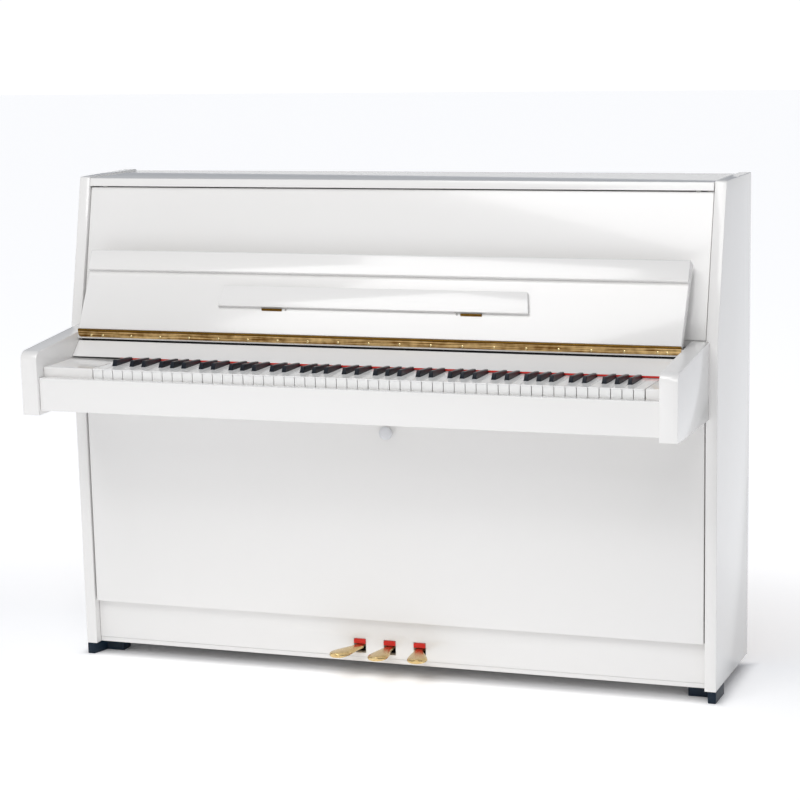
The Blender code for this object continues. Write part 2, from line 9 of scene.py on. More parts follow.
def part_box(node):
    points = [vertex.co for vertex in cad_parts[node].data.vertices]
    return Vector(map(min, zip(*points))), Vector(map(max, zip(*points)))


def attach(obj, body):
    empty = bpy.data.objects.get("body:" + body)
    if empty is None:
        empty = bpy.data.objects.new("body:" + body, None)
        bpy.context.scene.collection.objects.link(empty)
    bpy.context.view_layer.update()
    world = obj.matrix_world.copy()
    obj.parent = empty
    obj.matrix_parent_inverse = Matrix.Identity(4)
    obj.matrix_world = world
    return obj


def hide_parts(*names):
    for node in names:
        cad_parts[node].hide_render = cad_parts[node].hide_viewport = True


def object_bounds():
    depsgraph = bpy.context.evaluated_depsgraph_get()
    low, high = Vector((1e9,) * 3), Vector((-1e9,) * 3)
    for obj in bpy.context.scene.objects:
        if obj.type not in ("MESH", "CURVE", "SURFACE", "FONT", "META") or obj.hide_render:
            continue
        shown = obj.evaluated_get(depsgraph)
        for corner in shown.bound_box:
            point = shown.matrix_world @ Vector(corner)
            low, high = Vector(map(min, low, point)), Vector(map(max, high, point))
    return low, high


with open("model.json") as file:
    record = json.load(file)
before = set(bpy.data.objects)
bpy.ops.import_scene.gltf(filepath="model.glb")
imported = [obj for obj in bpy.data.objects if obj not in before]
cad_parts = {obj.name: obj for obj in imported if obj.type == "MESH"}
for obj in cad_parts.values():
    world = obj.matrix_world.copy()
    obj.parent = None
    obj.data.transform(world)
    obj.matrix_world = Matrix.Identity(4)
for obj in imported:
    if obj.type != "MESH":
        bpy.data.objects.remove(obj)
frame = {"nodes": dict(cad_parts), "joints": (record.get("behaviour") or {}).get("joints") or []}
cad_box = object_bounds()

# Studio
# A white floor that runs into a white room, with one large soft lamp in front of the piano and
# one above it. The room is a little dimmer to the right, which gives the case's end its cool grey.
# The floor glows faintly so that it stays white, and its glow is painted light that also falls on the piano; it
# is a little stronger behind the piano, and it is taken away under the case and close around it, which paints
# the shade there.


def linear(code):
    """A colour as the shader takes it, from its sRGB hex code."""
    parts = [int(code[i : i + 2], 16) / 255 for i in (1, 3, 5)]
    return (*[c / 12.92 if c <= 0.04045 else ((c + 0.055) / 1.055) ** 2.4 for c in parts], 1.0)


def drive(node, **inputs):
    """Fills a node's inputs, each with a constant, a hex colour, a node or one of its outputs."""
    for name, value in inputs.items():
        socket = node.inputs[int(name[1:]) if name[1:].isdigit() else name.replace("_", " ")]
        if isinstance(value, bpy.types.Node):
            value = next(output for output in value.outputs if output.enabled)
        if isinstance(value, bpy.types.NodeSocket):
            node.id_data.links.new(value, socket)
        else:
            socket.default_value = linear(value) if isinstance(value, str) else value


def add_node(tree, kind, inputs=None, **settings):
    """Adds one shader node, with its settings and its inputs."""
    added = tree.nodes.new("ShaderNode" + kind)
    for name, value in settings.items():
        setattr(added, name, value)
    drive(added, **(inputs or {}))
    return added


def finish_of(name, **inputs):
    """A new finish with its Principled shader: (material, tree, shader, object place)."""
    made = bpy.data.materials.new(name)
    made.use_nodes = True
    shader = made.node_tree.nodes["Principled BSDF"]
    drive(shader, **inputs)
    return made, made.node_tree, shader, add_node(made.node_tree, "TexCoord").outputs["Object"]


CAMERA_PLACE = (1.81512, -4.80721, 1.49232)
CAMERA_TURN = (78.0516, 1.2207, 19.9407)
camera = bpy.data.objects.new("camera", bpy.data.cameras.new("camera"))
bpy.context.scene.collection.objects.link(camera)
camera.location = CAMERA_PLACE
camera.rotation_euler = [math.radians(angle) for angle in CAMERA_TURN]
camera.data.lens = 107.31
camera.data.sensor_width = 36.0
camera.data.shift_x = -0.00765
camera.data.shift_y = 0.12178
camera.data.clip_end = 100.0
bpy.context.scene.camera = camera
bpy.context.scene.view_settings.view_transform = "Standard"
bpy.context.scene.view_settings.look = "None"

room = bpy.data.worlds.new("white_room")
bpy.context.scene.world = room
room.use_nodes = True
tree = room.node_tree
direction = add_node(tree, "TexCoord").outputs["Generated"]
sides = add_node(tree, "SeparateXYZ", {"Vector": direction})
to_right = add_node(tree, "MapRange", {"Value": sides.outputs["X"], "From Min": 0.0, "From Max": 1.0})
to_front = add_node(tree, "MapRange", {"Value": sides.outputs["Y"], "From Min": 0.2, "From Max": -0.6})
above = add_node(tree, "MapRange", {"Value": sides.outputs["Z"], "From Min": 0.042, "From Max": 0.060})
rear_shade = add_node(tree, "Mix", {"Factor": above, "A": "#FFFFFF", "B": "#8E929A"}, data_type="RGBA")
front_shade = add_node(tree, "Mix", {"Factor": to_front, "A": rear_shade, "B": "#A8A7A6"}, data_type="RGBA")
shade = add_node(tree, "Mix", {"Factor": to_right, "A": front_shade, "B": "#97999E"}, data_type="RGBA")
drive(tree.nodes["Background"], Color=shade, Strength=1.03)

floor_finish, tree, shader, place = finish_of(
    "white_studio_vinyl", Base_Color="#F2F2F3", Roughness=0.60, Emission_Color="#FFFFFF"
)
spot = add_node(tree, "SeparateXYZ", {"Vector": place})
far_x = add_node(tree, "Math", {"_0": spot.outputs["X"]}, operation="ABSOLUTE")
past_side = add_node(tree, "Math", {"_0": far_x, "_1": cad_box[1].x}, operation="SUBTRACT")
past_front = add_node(tree, "Math", {"_0": -0.010, "_1": spot.outputs["Y"]}, operation="SUBTRACT")
past_rear = add_node(tree, "Math", {"_0": spot.outputs["Y"], "_1": cad_box[1].y}, operation="SUBTRACT")
past_depth = add_node(tree, "Math", {"_0": past_front, "_1": past_rear}, operation="MAXIMUM")
past_case = add_node(tree, "Math", {"_0": past_side, "_1": past_depth}, operation="MAXIMUM")
# The glow fades out under the case and close around it: painted shade on the floor.
floor_glow_with_painted_shade = add_node(
    tree,
    "MapRange",
    {"Value": past_case, "From Min": -0.020, "From Max": 0.030, "To Max": 0.45},
    interpolation_type="SMOOTHSTEP",
)
# Extra glow behind the piano: painted light on the case's end and lid.
behind = add_node(
    tree, "MapRange", {"Value": spot.outputs["Y"], "From Min": 0.30, "From Max": 1.20, "To Max": 0.22}
)
whole_glow = add_node(tree, "Math", {"_0": floor_glow_with_painted_shade, "_1": behind}, operation="ADD")
drive(shader, Emission_Strength=whole_glow)
floor_mesh = bpy.data.meshes.new("floor")
FLOOR_REACH = 30.0
floor_corners = [(x * FLOOR_REACH, y * FLOOR_REACH, 0) for x, y in ((-1, -1), (1, -1), (1, 1), (-1, 1))]
floor_mesh.from_pydata(floor_corners, [], [(0, 1, 2, 3)])
floor_mesh.materials.append(floor_finish)
floor = bpy.data.objects.new("floor", floor_mesh)
bpy.context.scene.collection.objects.link(floor)

LAMP_AIM = Vector((0.0, 0.0, 0.6))
LAMPS = (
    # name, place, size in metres, watts
    ("front_softbox", (1.2, -4.0, 3.4), 2.0, 36.0),
    ("top_softbox", (-0.5, -2.2, 3.4), 2.0, 43.0),
)
for name, position, size, power in LAMPS:
    lamp = bpy.data.lights.new(name, "AREA")
    lamp.size = size
    lamp.energy = power
    stand = bpy.data.objects.new(name, lamp)
    stand.location = position
    stand.rotation_euler = (LAMP_AIM - Vector(position)).to_track_quat("-Z", "Y").to_euler()
    bpy.context.scene.collection.objects.link(stand)

# Case sides and arms
# Two ends of 25 mm board, upright to the keyboard and leaning back above it, and the arms
# that are screwed to them. All are sprayed with white polyester and polished, with the edges
# eased to about a millimetre.

white_polyester, tree, shader, place = finish_of(
    "white_polished_polyester", Roughness=0.16, IOR=1.52, Coat_Weight=0.35, Coat_Roughness=0.05, Coat_IOR=1.5
)
# Polishing leaves a faint waviness about 30 mm long, and the tone drifts very slightly.
wave = add_node(tree, "TexNoise", {"Vector": place, "Scale": 1 / 0.030, "Detail": 2.0})
drift = add_node(tree, "TexNoise", {"Vector": place, "Scale": 1 / 0.400, "Detail": 1.0})
tone = add_node(tree, "Mix", {"Factor": drift, "A": "#EFEEEC", "B": "#F2F1F0"}, data_type="RGBA")
ripple = add_node(tree, "Bump", {"Height": wave, "Strength": 0.15, "Distance": 0.00012})
drive(shader, Base_Color=tone, Normal=ripple)


def cad_shape(node):
    """A CAD node's mesh, with its flat faces whole again."""
    shape = bmesh.new()
    shape.from_mesh(frame["nodes"][node].data)
    bmesh.ops.remove_doubles(shape, verts=shape.verts, dist=1e-6)
    bmesh.ops.dissolve_limit(shape, angle_limit=math.radians(1), verts=shape.verts, edges=shape.edges)
    return shape


def place_piece(name, shape, body, slot, finishes, ease=0.0, replaced=(), steps=2, crease=35.0):
    """Makes a piece that rides on a body. Its edges are eased by a small radius."""
    bmesh.ops.recalc_face_normals(shape, faces=shape.faces)
    mesh = bpy.data.meshes.new(name)
    shape.to_mesh(mesh)
    shape.free()
    for finish in finishes:
        mesh.materials.append(finish)
    mesh.polygons.foreach_set("use_smooth", [True] * len(mesh.polygons))
    piece = bpy.data.objects.new(name, mesh)
    bpy.context.scene.collection.objects.link(piece)
    if ease:
        eased = piece.modifiers.new("eased_edges", "BEVEL")
        eased.width = ease
        eased.segments = steps
        eased.limit_method = "ANGLE"
        eased.angle_limit = math.radians(crease)
        eased.harden_normals = True
    else:
        mesh.set_sharp_from_angle(angle=math.radians(crease))
    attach(piece, body)
    if replaced:
        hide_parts(*replaced)
    return piece


def eased_boards(radius, body, finish, slot, *nodes):
    """CAD boards with their edges eased, each in the place of its node."""
    for node in nodes:
        place_piece(node + "_finished", cad_shape(node), body, slot, [finish], radius, [node], steps=3)


def lacquered_boards(radius, body, *nodes):
    eased_boards(radius, body, white_polyester, "white_lacquer", *nodes)


lacquered_boards(0.0012, "case", "side_panel_left", "side_panel_right")
lacquered_boards(0.0020, "case", "arm_left", "arm_right")

# Keybed, key slip and key blocks
# A thick laminated keybed closes the space between the arms. The lacquered slip stands along
# its front, and a lacquered block fills each end of the keyboard.

beech, tree, shader, place = finish_of("sealed_beech", Roughness=0.45, IOR=1.5)
# Beech has fine straight grain with short darker flecks 2 to 3 mm long.
along_board = add_node(tree, "Mapping", {"Vector": place, "Scale": (1 / 0.120, 1 / 0.008, 1 / 0.008)})
grain = add_node(tree, "TexNoise", {"Vector": along_board, "Scale": 1.0, "Detail": 6.0, "Roughness": 0.6})
flecks_map = add_node(tree, "Mapping", {"Vector": place, "Scale": (1 / 0.003, 1 / 0.0006, 1 / 0.0006)})
flecks = add_node(tree, "TexNoise", {"Vector": flecks_map, "Scale": 1.0, "Detail": 2.0})
grain_tone = add_node(tree, "Mix", {"Factor": grain, "A": "#B98A5A", "B": "#DDB98A"}, data_type="RGBA")
fleck_step = add_node(
    tree, "MapRange", {"Value": flecks, "From Min": 0.62, "From Max": 0.75, "To Max": 0.35}
)
beech_tone = add_node(tree, "Mix", {"Factor": fleck_step, "A": grain_tone, "B": "#8A5F38"}, data_type="RGBA")
ridge = add_node(tree, "Bump", {"Height": grain, "Strength": 0.25, "Distance": 0.0003})
drive(shader, Base_Color=beech_tone, Normal=ridge)

eased_boards(
    0.0015,
    "case",
    white_polyester,
    "white_lacquer",
    "keybed",
    "key_slip",
    "key_block_left",
    "key_block_right",
)


def cover_rings(shape, rings, finish=0):
    """Faces over a row of rings, with both ends closed."""
    faces = [shape.faces.new(rings[0]), shape.faces.new(rings[-1])]
    for lower, upper in zip(rings, rings[1:]):
        for k in range(len(lower)):
            m = (k + 1) % len(lower)
            faces.append(shape.faces.new((lower[k], lower[m], upper[m], upper[k])))
    for face in faces:
        face.material_index = finish
    return [v for ring in rings for v in ring]


def add_prism(shape, outline, along, low, high, finish=0):
    """Adds a closed prism to a shape: an outline across one axis, drawn from low to high."""
    across = {"X": (1, 2, 0), "Y": (0, 2, 1), "Z": (0, 1, 2)}[along]
    rings = []
    for level in (low, high):
        ring = []
        for pair in outline:
            point = [0.0, 0.0, 0.0]
            point[across[0]], point[across[1]], point[across[2]] = pair[0], pair[1], level
            ring.append(shape.verts.new(point))
        rings.append(ring)
    return cover_rings(shape, rings, finish)


def add_block(shape, low, high, finish=0):
    outline = ((low[0], low[1]), (high[0], low[1]), (high[0], high[1]), (low[0], high[1]))
    return add_prism(shape, outline, "Z", low[2], high[2], finish)


def add_turned(shape, profile, start, axis, sides=20, finish=0):
    """Adds a turned solid: (distance, radius) pairs along an axis from a start point."""
    axis = Vector(axis).normalized()
    first = axis.orthogonal().normalized()
    second = axis.cross(first)
    rings = []
    for distance, radius in profile:
        center = Vector(start) + axis * distance
        ring = []
        for k in range(sides):
            angle = 2 * math.pi * k / sides
            ring.append(
                shape.verts.new(center + (first * math.cos(angle) + second * math.sin(angle)) * radius)
            )
        rings.append(ring)
    return cover_rings(shape, rings, finish)


# Name board, red felt and hinge rail
# A sloping lacquered board stands behind the keys on a strip of red felt, which keeps the
# keys quiet where they pass under it. The rail above it carries the fallboard's hinge.

lacquered_boards(0.0010, "case", "name_board", "hinge_rail")

red_felt, tree, shader, place = finish_of(
    "red_wool_felt", Roughness=0.95, Sheen_Weight=0.35, Sheen_Roughness=0.5
)
# Pressed wool: matted fibres about half a millimetre long.
fibres = add_node(tree, "TexNoise", {"Vector": place, "Scale": 1 / 0.0006, "Detail": 5.0, "Roughness": 0.7})
fibre_tone = add_node(tree, "Mix", {"Factor": fibres, "A": "#C4130B", "B": "#F03A2E"}, data_type="RGBA")
fuzz = add_node(tree, "Bump", {"Height": fibres, "Strength": 0.8, "Distance": 0.0005})
drive(shader, Base_Color=fibre_tone, Normal=fuzz)

name_low, name_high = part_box("name_board")
RAIL_SHELF = 0.7620  # top of the hinge rail behind the hinge
strip = bmesh.new()
felt_outline = (
    (name_low.y - 0.0010, name_low.z - 0.0034), (name_low.y + 0.0120, name_low.z - 0.0034),
    (name_low.y + 0.0120, name_low.z - 0.0003), (name_low.y - 0.0010, name_low.z - 0.0003),
)
add_prism(strip, felt_outline, "X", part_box("white_keys_bass")[0].x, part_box("white_keys_treble")[1].x + 0.030)
place_piece("name_board_felt", strip, "case", "white_felt", [red_felt], 0.0004)

rail_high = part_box("hinge_rail")[1]
panel_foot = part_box("upper_panel")[0]
rest_rail = bmesh.new()
add_block(
    rest_rail,
    (-rail_high.x, panel_foot.y + 0.0004, RAIL_SHELF + 0.0003),
    (rail_high.x, rail_high.y - 0.0005, panel_foot.z - 0.0004),
)
place_piece("upper_panel_rest_rail", rest_rail, "case", "white_lacquer", [white_polyester], 0.0008)

# Fallboard hinge
# A continuous brass hinge: the lower leaf is screwed along the rail, the upper one along the
# fallboard's edge, and the rolled knuckles of the two alternate on one steel pin.

brass, tree, shader, place = finish_of("polished_brass", Metallic=1.0)
# Rolled strip, polished along its length: streaks a few millimetres apart, drawn
# coarser than the real polishing lines so that they show, and an uneven tone.
along_strip = add_node(tree, "Mapping", {"Vector": place, "Scale": (1 / 0.150, 1 / 0.0022, 1 / 0.0022)})
lines = add_node(tree, "TexNoise", {"Vector": along_strip, "Scale": 1.0, "Detail": 4.0})
clouds = add_node(tree, "TexNoise", {"Vector": place, "Scale": 1 / 0.020, "Detail": 3.0})
streaks = add_node(tree, "Mix", {"Factor": 0.7, "A": clouds, "B": lines})
streak_step = add_node(tree, "MapRange", {"Value": streaks, "From Min": 0.40, "From Max": 0.62})
# The dark brown end of this mix is painted reflection: the streaks follow the polishing, and their darkness
# stands for the band's reflections.
brass_tone_with_painted_reflection = add_node(tree, "Mix", {"Factor": streak_step, "A": "#6E4818", "B": "#F4CF90"}, data_type="RGBA")
brass_gloss = add_node(tree, "MapRange", {"Value": lines, "To Min": 0.22, "To Max": 0.42})
brass_lines = add_node(tree, "Bump", {"Height": lines, "Strength": 0.25, "Distance": 0.0001})
drive(shader, Base_Color=brass_tone_with_painted_reflection, Roughness=brass_gloss, Normal=brass_lines)

brass_shaded_copy, tree, shader, place = finish_of("brass_with_painted_shade", Metallic=1.0)
# A darker copy of the brass for the knuckles and the small ledge hinges: their brown is painted shade.
shade_mottle = add_node(tree, "TexNoise", {"Vector": place, "Scale": 1 / 0.004, "Detail": 4.0})
painted_shade_tone = add_node(tree, "Mix", {"Factor": shade_mottle, "A": "#5A4016", "B": "#8F6A2C"}, data_type="RGBA")
shade_mottle_gloss = add_node(tree, "MapRange", {"Value": shade_mottle, "To Min": 0.35, "To Max": 0.60})
drive(shader, Base_Color=painted_shade_tone, Roughness=shade_mottle_gloss)

joints = {joint["name"]: joint for joint in frame["joints"]}
HINGE = Vector(joints["fallboard_close"]["pos_m"])
hinge_low, hinge_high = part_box("fallboard_hinge")
KNUCKLE_RADIUS = hinge_high.z - HINGE.z
LEAF_THICK = 0.0016
KNUCKLE_LENGTH = 0.0250
END_ROUND = 0.008  # radius of the leaf's rounded lower corners
FALLBOARD_LEAN = math.radians(29.0)
board_place = Matrix.Translation(HINGE) @ Matrix.Rotation(-FALLBOARD_LEAN, 4, "X")


def lay_on_board(corners):
    """Moves corners from the upright board's own axes to the leaning board."""
    for corner in corners:
        corner.co = board_place @ corner.co


def knuckles(shape, first):
    """Every second knuckle of the hinge, from the first or the second one on."""
    count = int((hinge_high.x - hinge_low.x) / KNUCKLE_LENGTH)
    step = (hinge_high.x - hinge_low.x) / count
    for k in range(first, count, 2):
        start = (hinge_low.x + k * step + 0.0002, HINGE.y, HINGE.z)
        profile = [(0.0, KNUCKLE_RADIUS), (step - 0.0004, KNUCKLE_RADIUS)]
        add_turned(shape, profile, start, (1, 0, 0), sides=16, finish=1)


lower_leaf = bmesh.new()
LEAF_RISE = 0.0020  # how far the lower leaf stops short of the hinge's CAD outline
x_low, x_high, z_low = hinge_low.x, hinge_high.x, hinge_low.z + LEAF_RISE
leaf_top = HINGE.z - KNUCKLE_RADIUS + 0.0006
corners = []
for center_x, turn in ((x_low + END_ROUND, 180), (x_high - END_ROUND, 270)):
    for k in range(7):
        angle = math.radians(turn + 90 * k / 6)
        corners.append(
            (center_x + END_ROUND * math.cos(angle), z_low + END_ROUND + END_ROUND * math.sin(angle))
        )
leaf_outline = corners + [(x_high, leaf_top), (x_low, leaf_top)]
leaf_front = HINGE.y - LEAF_THICK / 2
add_prism(lower_leaf, leaf_outline, "Y", leaf_front, leaf_front + LEAF_THICK)
knuckles(lower_leaf, 0)
place_piece(
    "fallboard_hinge_lower_leaf",
    lower_leaf,
    "case",
    "brass",
    [brass, brass_shaded_copy],
    0.0002,
    ["fallboard_hinge"],
    steps=1,
)

upper_leaf = bmesh.new()
knuckles(upper_leaf, 1)
lay_on_board(add_block(upper_leaf, (x_low, 0.0, 0.0012), (x_high, 0.0155, 0.0028)))
place_piece(
    "fallboard_hinge_upper_leaf", upper_leaf, "fallboard", "brass", [brass, brass_shaded_copy], 0.0002, steps=1
)

screws = bmesh.new()
SCREW_PITCH = 0.0702
SCREW_LAST = 0.638
END_SCREWS = (-0.654, 0.658)
for x in [SCREW_LAST - SCREW_PITCH * k for k in range(19)] + list(END_SCREWS):
    head = [(0.0, 0.0026), (0.0004, 0.0026), (0.0009, 0.0018), (0.0011, 0.0006)]
    add_turned(screws, head, (x, leaf_front - 0.00005, hinge_low.z + 0.0066), (0, -1, 0), sides=14)
bright_brass, tree, shader, place = finish_of("bright_brass_screws", Metallic=1.0)
wear = add_node(tree, "TexNoise", {"Vector": place, "Scale": 1 / 0.002, "Detail": 3.0})
screw_tone = add_node(tree, "Mix", {"Factor": wear, "A": "#E3C984", "B": "#F6E7BC"}, data_type="RGBA")
screw_gloss = add_node(tree, "MapRange", {"Value": wear, "To Min": 0.12, "To Max": 0.25})
drive(shader, Base_Color=screw_tone, Roughness=screw_gloss)
place_piece("fallboard_hinge_screws", screws, "case", "brass", [bright_brass])

# Fallboard, its lip and the music ledge
# The fallboard is one long lacquered board with a lip hinged on its free edge, which folds
# over the keyboard's front when it is closed. The ledge for the music is hinged to its inner
# face on two small hinges, with a rubber stop beside each. Both are let into mortises in the
# ledge's lower edge, which clear them when the ledge is folded down.

lacquered_boards(0.0015, "fallboard", "fallboard")
lacquered_boards(0.0018, "fallboard_lip", "fallboard_lip")

LEDGE_U = 0.0625  # how far up the board the ledge starts
LEDGE_HINGE_X = 0.228
LEDGE_HINGE_LENGTH = 0.047
grey_rubber, tree, shader, place = finish_of("grey_rubber", Roughness=0.65)
bloom = add_node(tree, "TexNoise", {"Vector": place, "Scale": 1 / 0.003, "Detail": 3.0})
bloom_tone = add_node(tree, "Mix", {"Factor": bloom, "A": "#A9A8A4", "B": "#C4C3BF"}, data_type="RGBA")
drive(shader, Base_Color=bloom_tone)


def cut_away(shape, cutter):
    """The first shape with the second one cut out of it."""
    pair = []
    for part in (shape, cutter):
        bmesh.ops.recalc_face_normals(part, faces=part.faces)
        mesh = bpy.data.meshes.new("uncut")
        part.to_mesh(mesh)
        part.free()
        pair.append(bpy.data.objects.new("uncut", mesh))
        bpy.context.scene.collection.objects.link(pair[-1])
    cut = pair[0].modifiers.new("cut", "BOOLEAN")
    cut.object = pair[1]
    cut.operation = "DIFFERENCE"
    result = bmesh.new()
    result.from_mesh(pair[0].evaluated_get(bpy.context.evaluated_depsgraph_get()).to_mesh())
    for part in pair:
        bpy.data.objects.remove(part)
    return result


small_hinges = bmesh.new()
stops = bmesh.new()
mortises = bmesh.new()
MORTISE_DEPTH = 0.0040
MORTISE_REACH = 0.0068  # from the ledge's back towards its face
for sign in (-1, 1):
    start = (sign * LEDGE_HINGE_X - LEDGE_HINGE_LENGTH / 2, -0.0020, LEDGE_U - 0.0028)
    barrel = add_turned(
        small_hinges, [(0.0, 0.0018), (LEDGE_HINGE_LENGTH, 0.0018)], start, (1, 0, 0), sides=12
    )
    low = (start[0], -0.0012, LEDGE_U - 0.0062)
    high = (start[0] + LEDGE_HINGE_LENGTH, -0.0002, LEDGE_U - 0.0030)
    plate = add_block(small_hinges, low, high)
    lay_on_board(barrel + plate)
    inner = sign * (LEDGE_HINGE_X - LEDGE_HINGE_LENGTH / 2 - 0.009)
    stud = [(0.0, 0.0022), (0.0010, 0.0022), (0.0016, 0.0012)]
    lay_on_board(add_turned(stops, stud, (inner, -0.0001, LEDGE_U - 0.0028), (0, -1, 0), sides=14))
    ends = sorted((inner - sign * 0.0030, sign * (LEDGE_HINGE_X + LEDGE_HINGE_LENGTH / 2 + 0.0008)))
    mortise_low = (ends[0], -MORTISE_REACH, LEDGE_U - 0.0010)
    lay_on_board(add_block(mortises, mortise_low, (ends[1], 0.0010, LEDGE_U + MORTISE_DEPTH)))
ledge_shape = cut_away(cad_shape("music_ledge"), mortises)
place_piece(
    "music_ledge_finished",
    ledge_shape,
    "music_ledge",
    "white_lacquer",
    [white_polyester],
    0.0012,
    ["music_ledge"],
)
place_piece("music_ledge_hinges", small_hinges, "fallboard", "brass", [brass_shaded_copy])
place_piece("music_ledge_stops", stops, "fallboard", "knob_plastic", [grey_rubber])

# Upper panel, lid and lid hinge
# The leaning upper panel lifts out with the lid open. The lid is one board on a continuous
# brass hinge at the back, and shuts on two small rubber bumpers on the panel's top edge.

lacquered_boards(0.0012, "case", "upper_panel")
lacquered_boards(0.0015, "lid", "lid")
eased_boards(0.0002, "case", brass, "brass", "lid_hinge")
panel_low, panel_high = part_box("upper_panel")
PANEL_DEPTH = 0.020
bumpers = bmesh.new()
for sign in (-1, 1):
    start = (sign * 0.684, panel_high.y - 0.0165, panel_high.z - 0.0005)
    add_turned(bumpers, [(0.0, 0.0055), (0.0020, 0.0055), (0.0028, 0.0040)], start, (0, 0, 1), sides=18)
place_piece("lid_bumpers", bumpers, "case", "knob_plastic", [grey_rubber])

# Lower panel, its knob, toe rail and bottom board
# The lower panel stands on the toe rail and is held at its top by a spring catch, with a
# moulded knob to draw it forward. The toe rail has a slot for each pedal.

lacquered_boards(0.0012, "lower_panel", "lower_panel")
lacquered_boards(0.0010, "case", "toe_rail", "bottom_board")

moulded_white, tree, shader, place = finish_of("moulded_white_abs", Roughness=0.30, IOR=1.53)
skin = add_node(tree, "TexNoise", {"Vector": place, "Scale": 1 / 0.0015, "Detail": 2.0})
moulded_tone = add_node(tree, "Mix", {"Factor": skin, "A": "#D6D7DA", "B": "#DEDFE2"}, data_type="RGBA")
skin_bump = add_node(tree, "Bump", {"Height": skin, "Strength": 0.2, "Distance": 0.0001})
drive(shader, Base_Color=moulded_tone, Normal=skin_bump)
knob_low, knob_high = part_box("lower_panel_knob")
knob_middle = (knob_low + knob_high) / 2
knob_radius = (knob_high.x - knob_low.x) / 2
knob_length = knob_high.y - knob_low.y
knob = bmesh.new()
knob_profile = [
    (0.0, knob_radius * 0.72), (knob_length * 0.25, knob_radius * 0.66),
    (knob_length * 0.45, knob_radius * 0.78), (knob_length * 0.60, knob_radius * 0.97),
    (knob_length * 0.75, knob_radius), (knob_length * 0.88, knob_radius * 0.93),
    (knob_length * 0.97, knob_radius * 0.72), (knob_length, knob_radius * 0.35),
]
add_turned(knob, knob_profile, (knob_middle.x, knob_high.y, knob_middle.z), (0, -1, 0), sides=40)
knob_name = "lower_panel_knob"
knob_facts = f"{knob_name}_turned", knob, "lower_panel", "knob_plastic"
place_piece(*knob_facts, [moulded_white], replaced=[knob_name], crease=60.0)

# Feet
# Four low blocks of black moulded plastic under the case sides. The front pair reach inwards
# behind the toe rail.

black_moulded, tree, shader, place = finish_of(
    "black_moulded_nylon", Roughness=0.42, IOR=1.53, Specular_IOR_Level=0.25
)
spark = add_node(tree, "TexNoise", {"Vector": place, "Scale": 1 / 0.0008, "Detail": 2.0})
foot_tone = add_node(tree, "Mix", {"Factor": spark, "A": "#031422", "B": "#092338"}, data_type="RGBA")
spark_bump = add_node(tree, "Bump", {"Height": spark, "Strength": 0.4, "Distance": 0.0001})
drive(shader, Base_Color=foot_tone, Normal=spark_bump)
eased_boards(0.0015, "case", black_moulded, "black_foot", "foot_front_left", "foot_front_right")
eased_boards(0.0015, "case", black_moulded, "black_foot", "foot_rear_left", "foot_rear_right")

# Pedals, their felts and rods
# Each pedal is a cast brass bar, polished, that widens to a rounded head and turns on a pin
# behind the toe rail. Red felt quiets it at the top of its slot, and it lifts a wooden rod.

cast_brass, tree, shader, place = finish_of("champagne_cast_brass", Metallic=1.0)
# Feet have worn the polish into patches about 15 mm across.
worn = add_node(tree, "TexNoise", {"Vector": place, "Scale": 1 / 0.015, "Detail": 3.0})
worn_tone = add_node(tree, "Mix", {"Factor": worn, "A": "#C9A666", "B": "#E9D2A0"}, data_type="RGBA")
worn_gloss = add_node(tree, "MapRange", {"Value": worn, "To Min": 0.16, "To Max": 0.34})
drive(shader, Base_Color=worn_tone, Roughness=worn_gloss)

# Black cloth that paints shade: it darkens the pedal slots and the open joints of the case.
painted_shade_cloth, tree, shader, place = finish_of("black_cloth_painted_shade", Roughness=0.95)
weave = add_node(tree, "TexNoise", {"Vector": place, "Scale": 1 / 0.0010, "Detail": 2.0})
cloth_tone = add_node(tree, "Mix", {"Factor": weave, "A": "#050507", "B": "#131417"}, data_type="RGBA")
drive(shader, Base_Color=cloth_tone)

BEND_Y = -0.006  # where the head turns away from the bar
HEAD_REACH = 0.094
HEAD_HALF = 0.0225
BAR_HALF = 0.010
SPLAY = math.radians(16.5)
pedal_low, pedal_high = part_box("pedal_middle")
